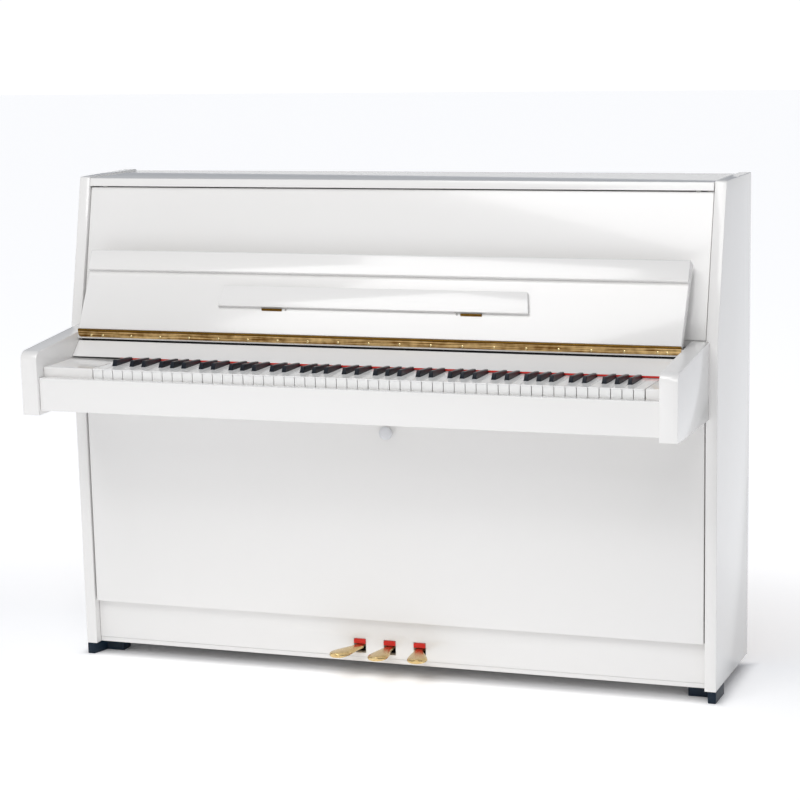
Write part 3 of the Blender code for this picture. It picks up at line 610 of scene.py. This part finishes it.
# The head's top is domed by 1.5 mm and its edges are rounded over: shares of half width and height.
HEAD_DOME = 0.0015
PEDAL_SECTION = (
    (-1.00, 0.30), (-0.97, 0.65), (-0.86, 0.90), (-0.50, 1.00), (0.0, 1.0), (0.50, 1.00),
    (0.86, 0.90), (0.97, 0.65), (1.00, 0.30), (0.90, 0.04), (0.0, 0.0), (-0.90, 0.04),
)
PEDAL_PITCH = joints["pedal_right_press"]["pos_m"][0]
toe_low, toe_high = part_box("toe_rail")
SLOT_TOP = 0.0797
SLOT_HALF = 0.014
POCKET_BOTTOM = 0.0395
POCKET_TOP = 0.0865
POCKET_HALF = 0.024
BAR_CLEAR = 0.0012
FELT_ROUND = 0.0042
for name, sign in (("left", -1), ("middle", 0), ("right", 1)):
    x = sign * PEDAL_PITCH
    splay = sign * SPLAY
    heading = Vector((math.sin(splay), -math.cos(splay), 0.0))
    across = Vector((math.cos(splay), math.sin(splay), 0.0))
    thickness = pedal_high.z - pedal_low.z
    neck = HEAD_REACH - HEAD_HALF
    # Stations down the pedal: (middle, half width, direction across, share of the dome)
    bend = Vector((x, BEND_Y, pedal_low.z))
    stations = [
        (Vector((x, y, pedal_low.z)), BAR_HALF, Vector((1, 0, 0)), 0.0) for y in (
            pedal_high.y, BEND_Y + 0.010
        )
    ]
    for k in range(11):
        share = k / 10
        half = BAR_HALF + (HEAD_HALF - BAR_HALF) * share * share * (3 - 2 * share)
        stations.append((bend + heading * neck * share, half, across, share))
    for k in range(1, 8):
        angle = math.pi / 2 * k / 8
        middle = bend + heading * (neck + HEAD_HALF * math.sin(angle))
        stations.append((middle, HEAD_HALF * math.cos(angle), across, 1.0))
    pedal = bmesh.new()
    rings = []
    for middle, half, sideways, crown in stations:
        ring = []
        for wide, high in PEDAL_SECTION:
            dome = HEAD_DOME * crown * (1 - wide * wide) if high > 0.5 else 0.0
            rise = Vector((0, 0, thickness * high * 0.92 + dome))
            ring.append(pedal.verts.new(middle + sideways * half * wide + rise))
        rings.append(ring)
    cover_rings(pedal, rings)
    boss = bend + heading * (neck - 0.004)
    add_turned(
        pedal,
        [(-0.001, 0.0085), (0.0030, 0.0080), (0.0052, 0.0060), (0.0060, 0.0030)],
        boss,
        (0, 0, -1),
        sides=20,
    )
    node = f"pedal_{name}"
    place_piece(f"{node}_cast", pedal, node, "brass", [cast_brass], 0.0, [node], crease=50.0)

    # A black cloth pocket and a curtain round the bar in each pedal slot: painted shade, so that the slot looks
    # dark.
    slot_shade_cloth = bmesh.new()
    pocket_front = toe_high.y + 0.0006
    curtain_front = pocket_front + 0.0120
    curtain_rear = curtain_front + 0.0030
    slot_edge = SLOT_HALF + 0.0005
    hole = BAR_HALF + BAR_CLEAR
    bar_low, bar_high = pedal_low.z - BAR_CLEAR, pedal_high.z + BAR_CLEAR
    for side in (-1, 1):
        wall = sorted((x + side * slot_edge, x + side * POCKET_HALF))
        flap = sorted((x + side * hole, x + side * POCKET_HALF))
        add_block(slot_shade_cloth, (wall[0], pocket_front, POCKET_BOTTOM), (wall[1], curtain_front, POCKET_TOP))
        add_block(slot_shade_cloth, (flap[0], curtain_front, POCKET_BOTTOM), (flap[1], curtain_rear, POCKET_TOP))
    add_block(
        slot_shade_cloth, (x - slot_edge, pocket_front, SLOT_TOP + 0.0010), (x + slot_edge, curtain_front, POCKET_TOP)
    )
    add_block(
        slot_shade_cloth, (x - slot_edge, pocket_front, POCKET_BOTTOM), (x + slot_edge, curtain_front, bar_low - 0.014)
    )
    add_block(slot_shade_cloth, (x - hole, curtain_front, bar_high), (x + hole, curtain_rear, POCKET_TOP))
    add_block(slot_shade_cloth, (x - hole, curtain_front, POCKET_BOTTOM), (x + hole, curtain_rear, bar_low))
    place_piece(f"pedal_{name}_slot_painted_shade", slot_shade_cloth, "case", "black_foot", [painted_shade_cloth], 0.0005)

    felt = bmesh.new()
    felt_half = SLOT_HALF - 0.0003
    felt_foot = pedal_high.z + 0.0005
    cap = []
    for side, first in ((1, 0), (-1, 5)):
        for k in range(first, first + 5):
            angle = math.pi / 2 * (k - first) / 4 + (0.0 if side > 0 else math.pi / 2)
            corner_x = x + side * (felt_half - FELT_ROUND)
            corner_z = SLOT_TOP - 0.0003 - FELT_ROUND
            cap.append((corner_x + FELT_ROUND * math.cos(angle), corner_z + FELT_ROUND * math.sin(angle)))
    foot_of_felt = [(x - felt_half, felt_foot), (x + felt_half, felt_foot)]
    add_prism(felt, cap + foot_of_felt, "Y", toe_low.y - 0.0022, toe_high.y - 0.003)
    place_piece(f"pedal_{name}_felt", felt, "case", "white_felt", [red_felt], 0.0006)
for rod in ("pedal_rod_left", "pedal_rod_middle", "pedal_rod_right"):
    eased_boards(0.0006, rod, beech, "bare_wood", rod)

# Black strips of painted shade
# Strips of the same black cloth are glued inside the case behind every open joint, so that
# the joints look dark: painted shade under the hinge rail, under the lid, beside the panels.

STRIP_THICK = 0.0012
NAME_BOARD_THICK = 0.013
shade_strips = bmesh.new()
rail_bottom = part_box("hinge_rail")[0].z
front_edge = name_high.y - NAME_BOARD_THICK + 0.0003
add_block(
    shade_strips, (-0.6800, front_edge, name_high.z + 0.0003), (0.6750, name_high.y, rail_bottom - 0.0004)
)
lid_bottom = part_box("lid")[0].z
strip_y = panel_high.y + 0.0015
add_block(
    shade_strips,
    (-0.7000, strip_y, panel_high.z - 0.0150),
    (0.7000, strip_y + STRIP_THICK, lid_bottom - 0.0006),
)
panel_slope = (panel_high.y - panel_low.y - PANEL_DEPTH) / (panel_high.z - panel_low.z)
lower_low, lower_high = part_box("lower_panel")
inner_face = -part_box("side_panel_left")[1].x
for side in (-1, 1):
    across = sorted((side * (inner_face - 0.0200), side * (inner_face - 0.0004)))
    foot, head = panel_low.z + 0.0010, panel_high.z - 0.0180
    slanted = []
    for z, back in ((foot, 0.0), (head, 0.0), (head, STRIP_THICK), (foot, STRIP_THICK)):
        slanted.append((panel_low.y + PANEL_DEPTH + (z - panel_low.z) * panel_slope + 0.0008 + back, z))
    add_prism(shade_strips, slanted, "X", across[0], across[1])
    rear = lower_high.y + 0.0008
    add_block(
        shade_strips, (across[0], rear, lower_low.z + 0.001), (across[1], rear + STRIP_THICK, lower_high.z)
    )
place_piece("shade_strips", shade_strips, "case", "black_foot", [painted_shade_cloth])

# Keys
# Every key is a spruce lever on the balance rail. White keys have a moulded acrylic top with
# a small overhang and a front plate, and black keys a tapered satin cap with a rounded nose.

acrylic, tree, shader, place = finish_of("white_key_acrylic", Roughness=0.14, IOR=1.49)
mottle = add_node(tree, "TexNoise", {"Vector": place, "Scale": 1 / 0.012, "Detail": 2.0})
acrylic_tone = add_node(tree, "Mix", {"Factor": mottle, "A": "#F6F6F5", "B": "#FAFAF9"}, data_type="RGBA")
drive(shader, Base_Color=acrylic_tone)

black_cap, tree, shader, place = finish_of("black_key_phenolic", IOR=1.55, Specular_IOR_Level=0.35)
# The caps are sanded lengthwise, which leaves lines a few tenths of a millimetre apart.
along_key = add_node(tree, "Mapping", {"Vector": place, "Scale": (1 / 0.0005, 1 / 0.030, 1 / 0.0005)})
sanding = add_node(tree, "TexNoise", {"Vector": along_key, "Scale": 1.0, "Detail": 3.0})
cap_tone = add_node(tree, "Mix", {"Factor": sanding, "A": "#020A14", "B": "#08192A"}, data_type="RGBA")
cap_gloss = add_node(tree, "MapRange", {"Value": sanding, "To Min": 0.24, "To Max": 0.42})
drive(shader, Base_Color=cap_tone, Roughness=cap_gloss)

spruce, tree, shader, place = finish_of("clear_spruce", Roughness=0.50, IOR=1.5)
# Quarter-sawn spruce: straight year rings about 1.5 mm apart that run the board's length.
rings_map = add_node(tree, "Mapping", {"Vector": place, "Scale": (1.0, 1.0, 0.03)})
rings_warp = add_node(tree, "TexNoise", {"Vector": rings_map, "Scale": 9.0, "Detail": 2.0})
rings = add_node(
    tree,
    "TexWave",
    {"Vector": rings_map, "Scale": 1 / 0.0030, "Distortion": 3.0, "Detail": 2.0, "Detail Scale": 1.5},
    bands_direction="X",
)
spruce_tone = add_node(
    tree, "Mix", {"Factor": rings.outputs["Fac"], "A": "#E6C997", "B": "#C79C61"}, data_type="RGBA"
)
spruce_drift = add_node(
    tree, "Mix", {"Factor": rings_warp, "A": spruce_tone, "B": "#D9B77E"}, data_type="RGBA"
)
spruce_bump = add_node(tree, "Bump", {"Height": rings.outputs["Fac"], "Strength": 0.15, "Distance": 0.0002})
drive(shader, Base_Color=spruce_drift, Normal=spruce_bump)

WHITE_PITCH = 0.0235
KEY_SLIT = 0.0005  # half of the slit between white keys
keys_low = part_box("white_keys_bass")[0]
keys_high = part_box("white_keys_treble")[1]
KEYS_LEFT = keys_low.x - KEY_SLIT
WHITE_FRONT = keys_low.y
KEY_REAR = keys_high.y
WHITE_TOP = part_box("white_key_c_4")[1].z
WHITE_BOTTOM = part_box("white_key_c_4")[0].z
SHOULDER = -0.2175
SHARP_FRONT = -0.2155
SHARP_REAR = -0.1335
SHARP_DROP = 0.0053  # how much lower the cap's rear end is
SHARP_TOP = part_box("black_key_g_sharp_4")[1].z
SHARP_HALF = 0.0048
SHARP_NOTCH = SHARP_HALF + 0.0012
ACRYLIC_THICK = 0.0026
ACRYLIC_REAR = -0.124
FRONT_PLATE = 0.012
NOTE_COUNT = 88
WHITE_COUNT = 52
NOTES = ("a", "a_sharp", "b", "c", "c_sharp", "d", "d_sharp", "e", "f", "f_sharp", "g", "g_sharp")
SHIFT = {"c_sharp": -1 / 10, "d_sharp": 1 / 10, "f_sharp": -1 / 7, "g_sharp": 0.0, "a_sharp": 1 / 7}
MIDDLE_OCTAVE = range(39, 51)
sharp_lines = {}
keyboard = []
whites = 0
for number in range(NOTE_COUNT):
    note = NOTES[number % 12]
    keyboard.append((number, note, whites))
    if note in SHIFT:
        sharp_lines[whites] = KEYS_LEFT + WHITE_PITCH * (whites + SHIFT[note])
    else:
        whites += 1


def white_key(shape, index):
    """A white key: lever, front plate and top, cut away beside the black keys."""
    left = KEYS_LEFT + WHITE_PITCH * index + KEY_SLIT
    right = left + WHITE_PITCH - 2 * KEY_SLIT
    tail_left = sharp_lines[index] + SHARP_NOTCH if index in sharp_lines else left
    tail_right = sharp_lines[index + 1] - SHARP_NOTCH if index + 1 in sharp_lines else right
    plan = [(left, WHITE_FRONT), (right, WHITE_FRONT)]
    if tail_right != right:
        plan += [(right, SHOULDER), (tail_right, SHOULDER)]
    plan += [(tail_right, ACRYLIC_REAR), (tail_left, ACRYLIC_REAR)]
    if tail_left != left:
        plan += [(tail_left, SHOULDER), (left, SHOULDER)]
    split = WHITE_TOP - ACRYLIC_THICK
    add_prism(shape, plan, "Z", split, WHITE_TOP, 0)
    add_block(
        shape,
        (left + 0.0003, WHITE_FRONT + 0.0010, WHITE_BOTTOM),
        (right - 0.0003, WHITE_FRONT + FRONT_PLATE, split),
        0,
    )
    inset = 0.0006
    lever = [(left + inset, WHITE_FRONT + FRONT_PLATE), (right - inset, WHITE_FRONT + FRONT_PLATE)]
    if tail_right != right:
        lever += [(right - inset, SHOULDER - inset), (tail_right - inset, SHOULDER - inset)]
    lever += [(tail_right - inset, KEY_REAR), (tail_left + inset, KEY_REAR)]
    if tail_left != left:
        lever += [(tail_left + inset, SHOULDER - inset), (left + inset, SHOULDER - inset)]
    add_prism(shape, lever, "Z", WHITE_BOTTOM, split, 1)


def black_key(shape, index):
    """A black key: a tapered cap with a sloping nose on a spruce lever."""
    middle = sharp_lines[index]
    floor_z = WHITE_TOP - 0.0070
    rings = []
    levels = (
        # half width, setback of the nose, height in front, height at the rear
        (1.00, 0.0, floor_z, floor_z),
        (1.00, 0.0003, WHITE_TOP, WHITE_TOP),
        (0.82, 0.0055, SHARP_TOP, SHARP_TOP - SHARP_DROP),
    )
    for share, setback, front_z, rear_z in levels:
        front, half = SHARP_FRONT + setback, share * SHARP_HALF
        corners = (
            (-half, front, front_z),
            (half, front, front_z),
            (half, SHARP_REAR, rear_z),
            (-half, SHARP_REAR, rear_z),
        )
        rings.append([shape.verts.new((middle + x, y, z)) for x, y, z in corners])
    cover_rings(shape, rings)
    half = SHARP_HALF - 0.0006
    add_block(
        shape,
        (middle - half, SHARP_FRONT + 0.0008, WHITE_BOTTOM + 0.0015),
        (middle + half, SHARP_REAR, floor_z),
        1,
    )
    add_block(
        shape,
        (middle - half, SHARP_REAR, WHITE_BOTTOM + 0.0015),
        (middle + half, KEY_REAR, WHITE_TOP - 0.0020),
        1,
    )


def place_keys(name, numbers, body):
    whites_shape, blacks_shape = bmesh.new(), bmesh.new()
    has = {"white": 0, "black": 0}
    for number, note, index in keyboard:
        if number in numbers:
            if note in SHIFT:
                black_key(blacks_shape, index)
                has["black"] += 1
            else:
                white_key(whites_shape, index)
                has["white"] += 1
    for kind, shape, cover in (("white", whites_shape, acrylic), ("black", blacks_shape, black_cap)):
        if not has[kind]:
            shape.free()
            continue
        target = body if body else f"{kind}_keys_{name}"
        ease = 0.0005 if kind == "white" else 0.0011
        place_piece(
            f"{target}_finished", shape, target, f"{kind}_key", [cover, spruce], ease, [target], steps=3
        )


place_keys("bass", range(MIDDLE_OCTAVE.start), None)
place_keys("treble", range(MIDDLE_OCTAVE.stop, NOTE_COUNT), None)
for number, note, index in keyboard:
    if number in MIDDLE_OCTAVE:
        kind = "black" if note in SHIFT else "white"
        place_keys(note, [number], f"{kind}_key_{note}_4")

# Key frame
# Three rails on the keybed. The front rail has a felt punching and a pin for every white key, the
# balance rail carries the keys' pins, and the back rail has a long felt that the keys rest on.

eased_boards(0.0008, "case", spruce, "spruce", "balance_rail")
green_felt, tree, shader, place = finish_of("green_wool_felt", Roughness=0.95, Sheen_Weight=0.3)
fibres = add_node(tree, "TexNoise", {"Vector": place, "Scale": 1 / 0.0006, "Detail": 5.0})
green_tone = add_node(tree, "Mix", {"Factor": fibres, "A": "#2C5A3A", "B": "#4C8A5C"}, data_type="RGBA")
drive(shader, Base_Color=green_tone)
steel, tree, shader, place = finish_of("nickel_plated_steel", Metallic=1.0)
plating = add_node(tree, "TexNoise", {"Vector": place, "Scale": 1 / 0.003, "Detail": 3.0})
plating_tone = add_node(tree, "Mix", {"Factor": plating, "A": "#9FA1A4", "B": "#C9CBCE"}, data_type="RGBA")
plating_gloss = add_node(tree, "MapRange", {"Value": plating, "To Min": 0.18, "To Max": 0.32})
drive(shader, Base_Color=plating_tone, Roughness=plating_gloss)

bed_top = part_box("keybed")[1].z
FRONT_RAIL_Y = -0.236
BACK_RAIL_Y = 0.020
key_frame = bmesh.new()
keys_right = KEYS_LEFT + WHITE_COUNT * WHITE_PITCH
add_block(
    key_frame,
    (KEYS_LEFT, FRONT_RAIL_Y - 0.016, bed_top + 0.0003),
    (keys_right, FRONT_RAIL_Y + 0.016, bed_top + 0.0180),
)
add_block(
    key_frame,
    (KEYS_LEFT, BACK_RAIL_Y - 0.016, bed_top + 0.0003),
    (keys_right, BACK_RAIL_Y + 0.016, bed_top + 0.0240),
)
place_piece("key_frame_rails", key_frame, "case", "bare_wood", [spruce], 0.0010)
punchings, pins, back_felt = bmesh.new(), bmesh.new(), bmesh.new()
add_block(
    back_felt,
    (KEYS_LEFT, BACK_RAIL_Y - 0.014, bed_top + 0.0243),
    (keys_right, BACK_RAIL_Y + 0.014, bed_top + 0.0280),
)
for number, note, index in keyboard:
    if note not in SHIFT:
        middle = KEYS_LEFT + WHITE_PITCH * (index + 0.5)
        felt_foot = (middle, FRONT_RAIL_Y, bed_top + 0.0183)
        add_turned(punchings, [(0.0, 0.0095), (0.0030, 0.0095)], felt_foot, (0, 0, 1), sides=16)
        pin_foot = (middle, FRONT_RAIL_Y, bed_top + 0.0180)
        add_turned(pins, [(0.0, 0.0018), (0.0085, 0.0016)], pin_foot, (0, 0, 1), sides=8)
place_piece("back_rail_felt", back_felt, "case", "white_felt", [red_felt], 0.0008)
place_piece("front_rail_punchings", punchings, "case", "white_felt", [green_felt])
place_piece("front_rail_pins", pins, "case", "string_steel", [steel])

# Back: posts, beams, soundboard and ribs
# Three beech posts between two beams take the pull of the strings. The spruce soundboard is
# glued to their front, with spruce ribs across its back and the bridges on its front.

eased_boards(0.0030, "case", beech, "bare_wood", "back_beam_bottom", "back_beam_top")
eased_boards(0.0030, "case", beech, "bare_wood", "back_post_left", "back_post_middle", "back_post_right")
eased_boards(0.0010, "case", beech, "bare_wood", "pin_block")
eased_boards(0.0005, "case", spruce, "spruce", "soundboard")
board_low, board_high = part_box("soundboard")
ribs = bmesh.new()
RIB_SLANT = 0.55  # rise per metre across
RIB_PITCH = 0.125
RIB_HEIGHT = 0.024
BAYS = ((-0.690, -0.440), (-0.360, -0.040), (0.040, 0.360), (0.440, 0.690))
for left, right in BAYS:
    rise = RIB_SLANT * (right - left)
    foot = board_low.z + 0.030 + (RIB_SLANT * (left + 0.70)) % RIB_PITCH
    while foot + rise + RIB_HEIGHT < board_high.z - 0.030:
        rib = (
            (left, foot), (right, foot + rise), (right, foot + rise + RIB_HEIGHT), (left, foot + RIB_HEIGHT)
        )
        add_prism(ribs, rib, "Y", board_high.y + 0.0002, board_high.y + 0.0150)
        foot += RIB_PITCH
place_piece("soundboard_ribs", ribs, "case", "spruce", [spruce], 0.0020)

# Iron plate, bridges, pins and strings
# A cast iron plate, sprayed bronze-gold, holds the strings' pull between the tuning pins and
# the hitch pins. Steel strings run in threes, and the bass ones are wound with copper.

gilded_iron, tree, shader, place = finish_of("bronze_sprayed_iron", Metallic=0.75)
# Sand casting leaves a surface of grains about 1 mm across under the paint.
sand = add_node(tree, "TexNoise", {"Vector": place, "Scale": 1 / 0.0012, "Detail": 4.0})
paint_clouds = add_node(tree, "TexNoise", {"Vector": place, "Scale": 1 / 0.060, "Detail": 2.0})
iron_tone = add_node(tree, "Mix", {"Factor": paint_clouds, "A": "#A5813C", "B": "#C19B50"}, data_type="RGBA")
iron_gloss = add_node(tree, "MapRange", {"Value": sand, "To Min": 0.32, "To Max": 0.52})
iron_bump = add_node(tree, "Bump", {"Height": sand, "Strength": 0.5, "Distance": 0.0003})
drive(shader, Base_Color=iron_tone, Roughness=iron_gloss, Normal=iron_bump)
eased_boards(0.0035, "case", gilded_iron, "gilded_iron", "iron_plate")

plate_low, plate_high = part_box("iron_plate")
strings_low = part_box("strings")[0]
BASS_COUNT = 26
music_wire, copper_shapes = bmesh.new(), bmesh.new()
tuning_pins, hitch_pins = bmesh.new(), bmesh.new()
bridge_line = []


def add_wire(shape, start, end, radius):
    run = Vector(end) - Vector(start)
    add_turned(shape, [(0.0, radius), (run.length, radius)], start, run, sides=6)


for number in range(NOTE_COUNT):
    if number < BASS_COUNT:
        # Bass strings slant down to the right, over the treble ones.
        part = number / (BASS_COUNT - 1)
        top_x = -0.640 + 0.330 * part
        foot_x = -0.330 + 0.460 * part
        foot_z = strings_low.z + 0.01 + 0.05 * part
        count = 1 if number < 10 else 2
        radius = 0.0019 - 0.0011 * part
        y = plate_low.y - 0.0055
        shape = copper_shapes
    else:
        # Treble strings are threes that slant slightly and get shorter towards the top.
        part = (number - BASS_COUNT) / (NOTE_COUNT - 1 - BASS_COUNT)
        top_x = -0.270 + 0.910 * part
        foot_x = top_x - 0.120 * (1 - part)
        foot_z = strings_low.z + 0.03 + 0.46 * part ** 0.75
        count = 3
        radius = 0.00055
        y = plate_low.y - 0.0030
        shape = music_wire
    for k in range(count):
        spread = (k - (count - 1) / 2) * (0.0030 if count == 3 else 0.0045)
        pin_z = plate_high.z - 0.048 + 0.014 * (k % 3) + 0.006 * (number % 2)
        top = (top_x + spread, y, pin_z)
        foot = (foot_x + spread, y, foot_z)
        add_wire(shape, foot, top, radius)
        start = (top_x + spread + 0.0028, plate_low.y - 0.0005, pin_z)
        add_turned(
            tuning_pins, [(0.0, 0.0030), (0.0150, 0.0030), (0.0190, 0.0024)], start, (0, -1, 0), sides=8
        )
        hitch = (foot_x + spread, plate_low.y - 0.0003, foot_z)
        add_turned(hitch_pins, [(0.0, 0.0014), (0.0070, 0.0014)], hitch, (0, -1, 0), sides=6)
    if number >= BASS_COUNT and number % 6 == 0:
        bridge_line.append((foot_x, foot_z + 0.055))

wound_copper, tree, shader, place = finish_of("wound_copper", Metallic=1.0, Roughness=0.30)
# The winding's turns are about a millimetre apart.
turns = add_node(
    tree, "TexWave", {"Vector": place, "Scale": 1 / 0.0063, "Distortion": 0.0}, bands_direction="Z"
)
copper_tone = add_node(
    tree, "Mix", {"Factor": turns.outputs["Fac"], "A": "#7A3F22", "B": "#C97B4C"}, data_type="RGBA"
)
drive(shader, Base_Color=copper_tone)
place_piece("treble_strings", music_wire, "case", "string_steel", [steel], replaced=["strings"])
place_piece("bass_strings", copper_shapes, "case", "string_steel", [wound_copper])
place_piece("tuning_pins", tuning_pins, "case", "string_steel", [steel])
place_piece("hitch_pins", hitch_pins, "case", "string_steel", [steel])

BRIDGE_HEIGHT = 0.030
BRIDGE_HALF = 0.016
bridge = bmesh.new()
rings = []
for x, z in bridge_line:
    front, back = board_low.y - BRIDGE_HEIGHT, board_low.y - 0.0003
    low, high = z - BRIDGE_HALF, z + BRIDGE_HALF
    corners = ((x, front, low), (x, back, low), (x, back, high), (x, front, high))
    rings.append([bridge.verts.new(corner) for corner in corners])
cover_rings(bridge, rings)
place_piece("treble_bridge", bridge, "case", "bare_wood", [beech], 0.0015)

bolts = bmesh.new()
for x in (-0.670, -0.315, 0.035, 0.345, 0.680):
    for z in (plate_low.z + 0.022, plate_low.z + 0.100, plate_high.z - 0.130):
        head = [(0.0, 0.0095), (0.0050, 0.0095), (0.0066, 0.0070)]
        add_turned(bolts, head, (x, plate_low.y - 0.0002, z), (0, -1, 0), sides=6)
place_piece("plate_bolts", bolts, "case", "brass", [brass], 0.0006)

# Action
# The action's rail and its cast brackets are fixed. Each hammer has a maple shank and a head
# of white felt over a wooden core, and each damper is a felt-faced block on a wire lever.

eased_boards(0.0010, "case", beech, "bare_wood", "action_rail")
white_felt, tree, shader, place = finish_of("white_wool_felt", Roughness=0.95, Sheen_Weight=0.3)
fibres = add_node(tree, "TexNoise", {"Vector": place, "Scale": 1 / 0.0007, "Detail": 5.0, "Roughness": 0.7})
wool_tone = add_node(tree, "Mix", {"Factor": fibres, "A": "#D9D3C5", "B": "#F4F0E6"}, data_type="RGBA")
wool_bump = add_node(tree, "Bump", {"Height": fibres, "Strength": 0.7, "Distance": 0.0004})
drive(shader, Base_Color=wool_tone, Normal=wool_bump)

HAMMER_PIVOT = Vector(joints["hammers_half_blow"]["pos_m"])
DAMPER_PIVOT = Vector(joints["dampers_lift"]["pos_m"])
hammer_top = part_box("hammers")[1]
damper_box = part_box("dampers")
action_pitch = WHITE_COUNT * WHITE_PITCH / NOTE_COUNT
SHANK_LENGTH = 0.105
DAMPED_NOTES = 66
hammers, dampers = bmesh.new(), bmesh.new()
for number in range(NOTE_COUNT):
    x = KEYS_LEFT + action_pitch * (number + 0.5)
    half = 0.0046 - 0.0010 * number / (NOTE_COUNT - 1)
    shank = [(0.0, 0.0027), (SHANK_LENGTH, 0.0025)]
    add_turned(hammers, shank, (x, HAMMER_PIVOT.y, HAMMER_PIVOT.z), (0, 0, 1), sides=8, finish=1)
    butt = (
        (HAMMER_PIVOT.y - 0.0055, HAMMER_PIVOT.z - 0.0055),
        (HAMMER_PIVOT.y + 0.0055, HAMMER_PIVOT.z - 0.0055),
        (HAMMER_PIVOT.y + 0.0040, HAMMER_PIVOT.z + 0.0150),
        (HAMMER_PIVOT.y - 0.0035, HAMMER_PIVOT.z + 0.0180),
    )
    add_prism(hammers, butt, "X", x - half, x + half, 1)
    y = HAMMER_PIVOT.y
    z = hammer_top.z
    core = (
        (y - 0.004, z - 0.0105), (y + 0.022, z - 0.0095), (y + 0.022, z - 0.0065), (y - 0.004, z - 0.0045)
    )
    add_prism(hammers, core, "X", x - half + 0.0004, x + half - 0.0004, 1)
    felt_head = (
        (y + 0.006, z - 0.0165), (y + 0.024, z - 0.0160), (y + 0.0315, z - 0.0130),
        (y + 0.0338, z - 0.0085), (y + 0.0315, z - 0.0035), (y + 0.024, z - 0.0008),
        (y + 0.006, z - 0.0002), (y + 0.0065, z - 0.0030), (y + 0.022, z - 0.0055),
        (y + 0.022, z - 0.0110), (y + 0.0065, z - 0.0135),
    )
    add_prism(hammers, felt_head, "X", x - half, x + half, 0)
    if number < DAMPED_NOTES:
        y, z = DAMPER_PIVOT.y, DAMPER_PIVOT.z
        top = damper_box[1].z
        add_turned(
            dampers, [(0.0, 0.0012), (top - z - 0.006, 0.0012)], (x, y, z), (0, 0, 1), sides=6, finish=2
        )
        add_block(dampers, (x - half, y - 0.0038, z - 0.0038), (x + half, y + 0.0038, z + 0.0120), 1)
        add_block(
            dampers, (x - half, y - 0.0035, top - 0.0220), (x + half, damper_box[1].y - 0.0080, top), 1
        )
        add_block(
            dampers, (x - half, damper_box[1].y - 0.0077, top - 0.0220), (x + half, damper_box[1].y, top), 0
        )
place_piece("hammers_felted", hammers, "hammers", "white_felt", [white_felt, beech], replaced=["hammers"])
place_piece(
    "dampers_felted", dampers, "dampers", "white_felt", [white_felt, beech, steel], replaced=["dampers"]
)

rail_low, rail_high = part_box("action_rail")
brackets = bmesh.new()
for x in (-0.600, -0.235, 0.245, 0.676):
    outline = (
        (rail_low.y - 0.006, bed_top + 0.0700), (rail_low.y + 0.004, bed_top + 0.0700),
        (rail_low.y + 0.002, rail_low.z - 0.0005), (rail_low.y - 0.0004, rail_low.z - 0.0005),
        (rail_low.y - 0.0004, rail_high.z + 0.0500), (rail_low.y - 0.010, rail_high.z + 0.0700),
        (rail_low.y - 0.014, rail_high.z + 0.0300),
    )
    add_prism(brackets, outline, "X", x - 0.003, x + 0.003)
place_piece("action_brackets", brackets, "case", "gilded_iron", [gilded_iron], 0.0008)
